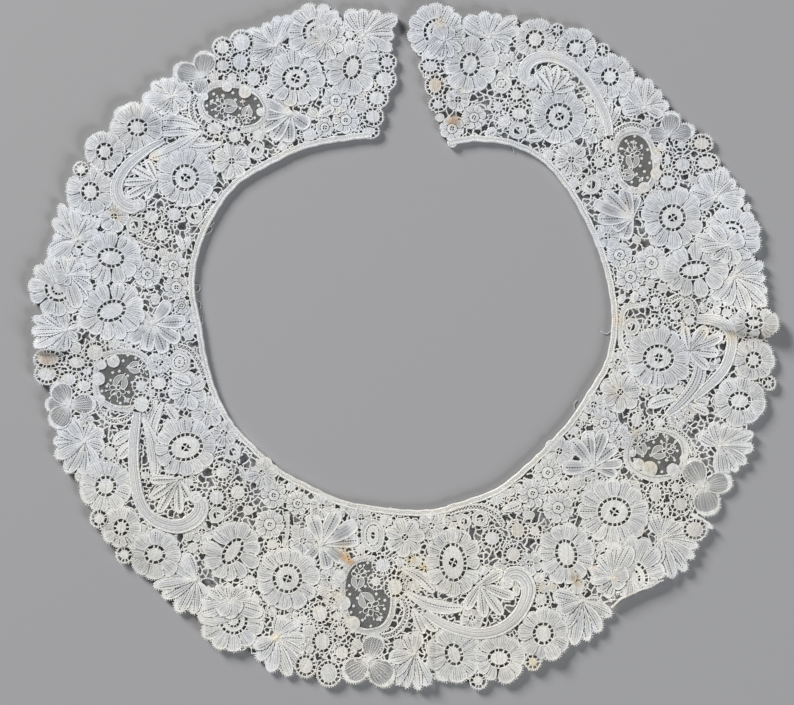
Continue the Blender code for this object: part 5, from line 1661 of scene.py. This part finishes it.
# each mesh of the panel is one stretch of the flat lace; its flat area is that stretch of the ring
for k, obj in enumerate(panel_objects):
    b = np.linspace(min(SECTOR_ENDS[k], 88.0), max(SECTOR_ENDS[k + 1], -268.0), 400)
    ring = 0.5 * ((body_radius(b) + 4) ** 2 - (neck_radius(b) + 5.5) ** 2)
    area = float(np.sum((ring[1:] + ring[:-1]) / 2 * np.radians(np.abs(np.diff(b))))) * STEP * STEP
    let_in = [cord_objects[k]] + ([tape_object] if k == 2 else [])
    for row, inset in zip(INSETS, inset_objects):
        if sector(row[1], row[2]) is SECTORS[k]:
            area -= 0.93 * math.pi * row[3] * row[4] * STEP * STEP
            let_in.append(inset)
    co = np.zeros(len(obj.data.vertices) * 3, np.float32)
    obj.data.vertices.foreach_get("co", co)
    co = co.reshape(-1, 3)
    size = co.max(0) - co.min(0)

# ------------------------------------------------------------------ floor, light, camera
bpy.ops.mesh.primitive_circle_add(vertices=96, radius=7.0, fill_type="NGON", location=(0, 0, -0.0002))
floor = bpy.context.object
floor.name = "floor"
fm = bpy.data.materials.new("floor")
fm.use_nodes = True
nt = fm.node_tree
bsdf = nt.nodes["Principled BSDF"]
bsdf.inputs["Roughness"].default_value = 0.95
bsdf.inputs["Specular IOR Level"].default_value = 0.1
bsdf.inputs["Base Color"].default_value = (0.36, 0.36, 0.37, 1)
floor.data.materials.append(fm)
# a low pale wall far behind, for the views from the side
bpy.ops.mesh.primitive_cylinder_add(vertices=96, radius=7.0, depth=1.6, end_fill_type="NOTHING",
                                    location=(0, 0, 0.7998))
wall = bpy.context.object
wall.name = "backdrop"
wm = bpy.data.materials.new("backdrop")
wm.use_nodes = True
wb = wm.node_tree.nodes["Principled BSDF"]
wb.inputs["Base Color"].default_value = (0.0, 0.0, 0.0, 1)
wb.inputs["Specular IOR Level"].default_value = 0.0
wb.inputs["Emission Color"].default_value = (0.97, 0.98, 1.0, 1)
wb.inputs["Emission Strength"].default_value = 0.42
wall.data.materials.append(wm)


def area_light(name, loc, target, size, power, colour=(1, 1, 1)):
    data = bpy.data.lights.new(name, "AREA")
    data.shape = "SQUARE"
    data.size = size
    data.energy = power
    data.color = colour
    obj = bpy.data.objects.new(name, data)
    bpy.context.collection.objects.link(obj)
    obj.location = loc
    obj.rotation_euler = (Vector(target) - Vector(loc)).to_track_quat("-Z", "Y").to_euler()
    return obj


area_light("key", (-2.05, 2.15, 1.35), (0, 0, 0), 1.0, 160.0, (1.0, 0.985, 0.965))
area_light("fill", (2.2, -2.1, 1.3), (0, 0, 0), 1.3, 91.0, (0.95, 0.975, 1.0))
world = bpy.data.worlds.new("studio")
bpy.context.scene.world = world
world.use_nodes = True
world.node_tree.nodes["Background"].inputs["Color"].default_value = (0.95, 0.97, 1.0, 1)
world.node_tree.nodes["Background"].inputs["Strength"].default_value = 0.055

cam_data = bpy.data.cameras.new("camera")
cam_data.lens = 85.0
cam_data.sensor_width = 36.0
camera = bpy.data.objects.new("camera", cam_data)
bpy.context.collection.objects.link(camera)
view_w = 794 * STEP
camera.location = ((397.0 - MIDDLE[0]) * STEP, (MIDDLE[1] - 352.5) * STEP, view_w * 85.0 / 36.0)
camera.rotation_euler = (0, 0, 0)
bpy.context.scene.camera = camera
bpy.context.scene.view_settings.view_transform = "Standard"
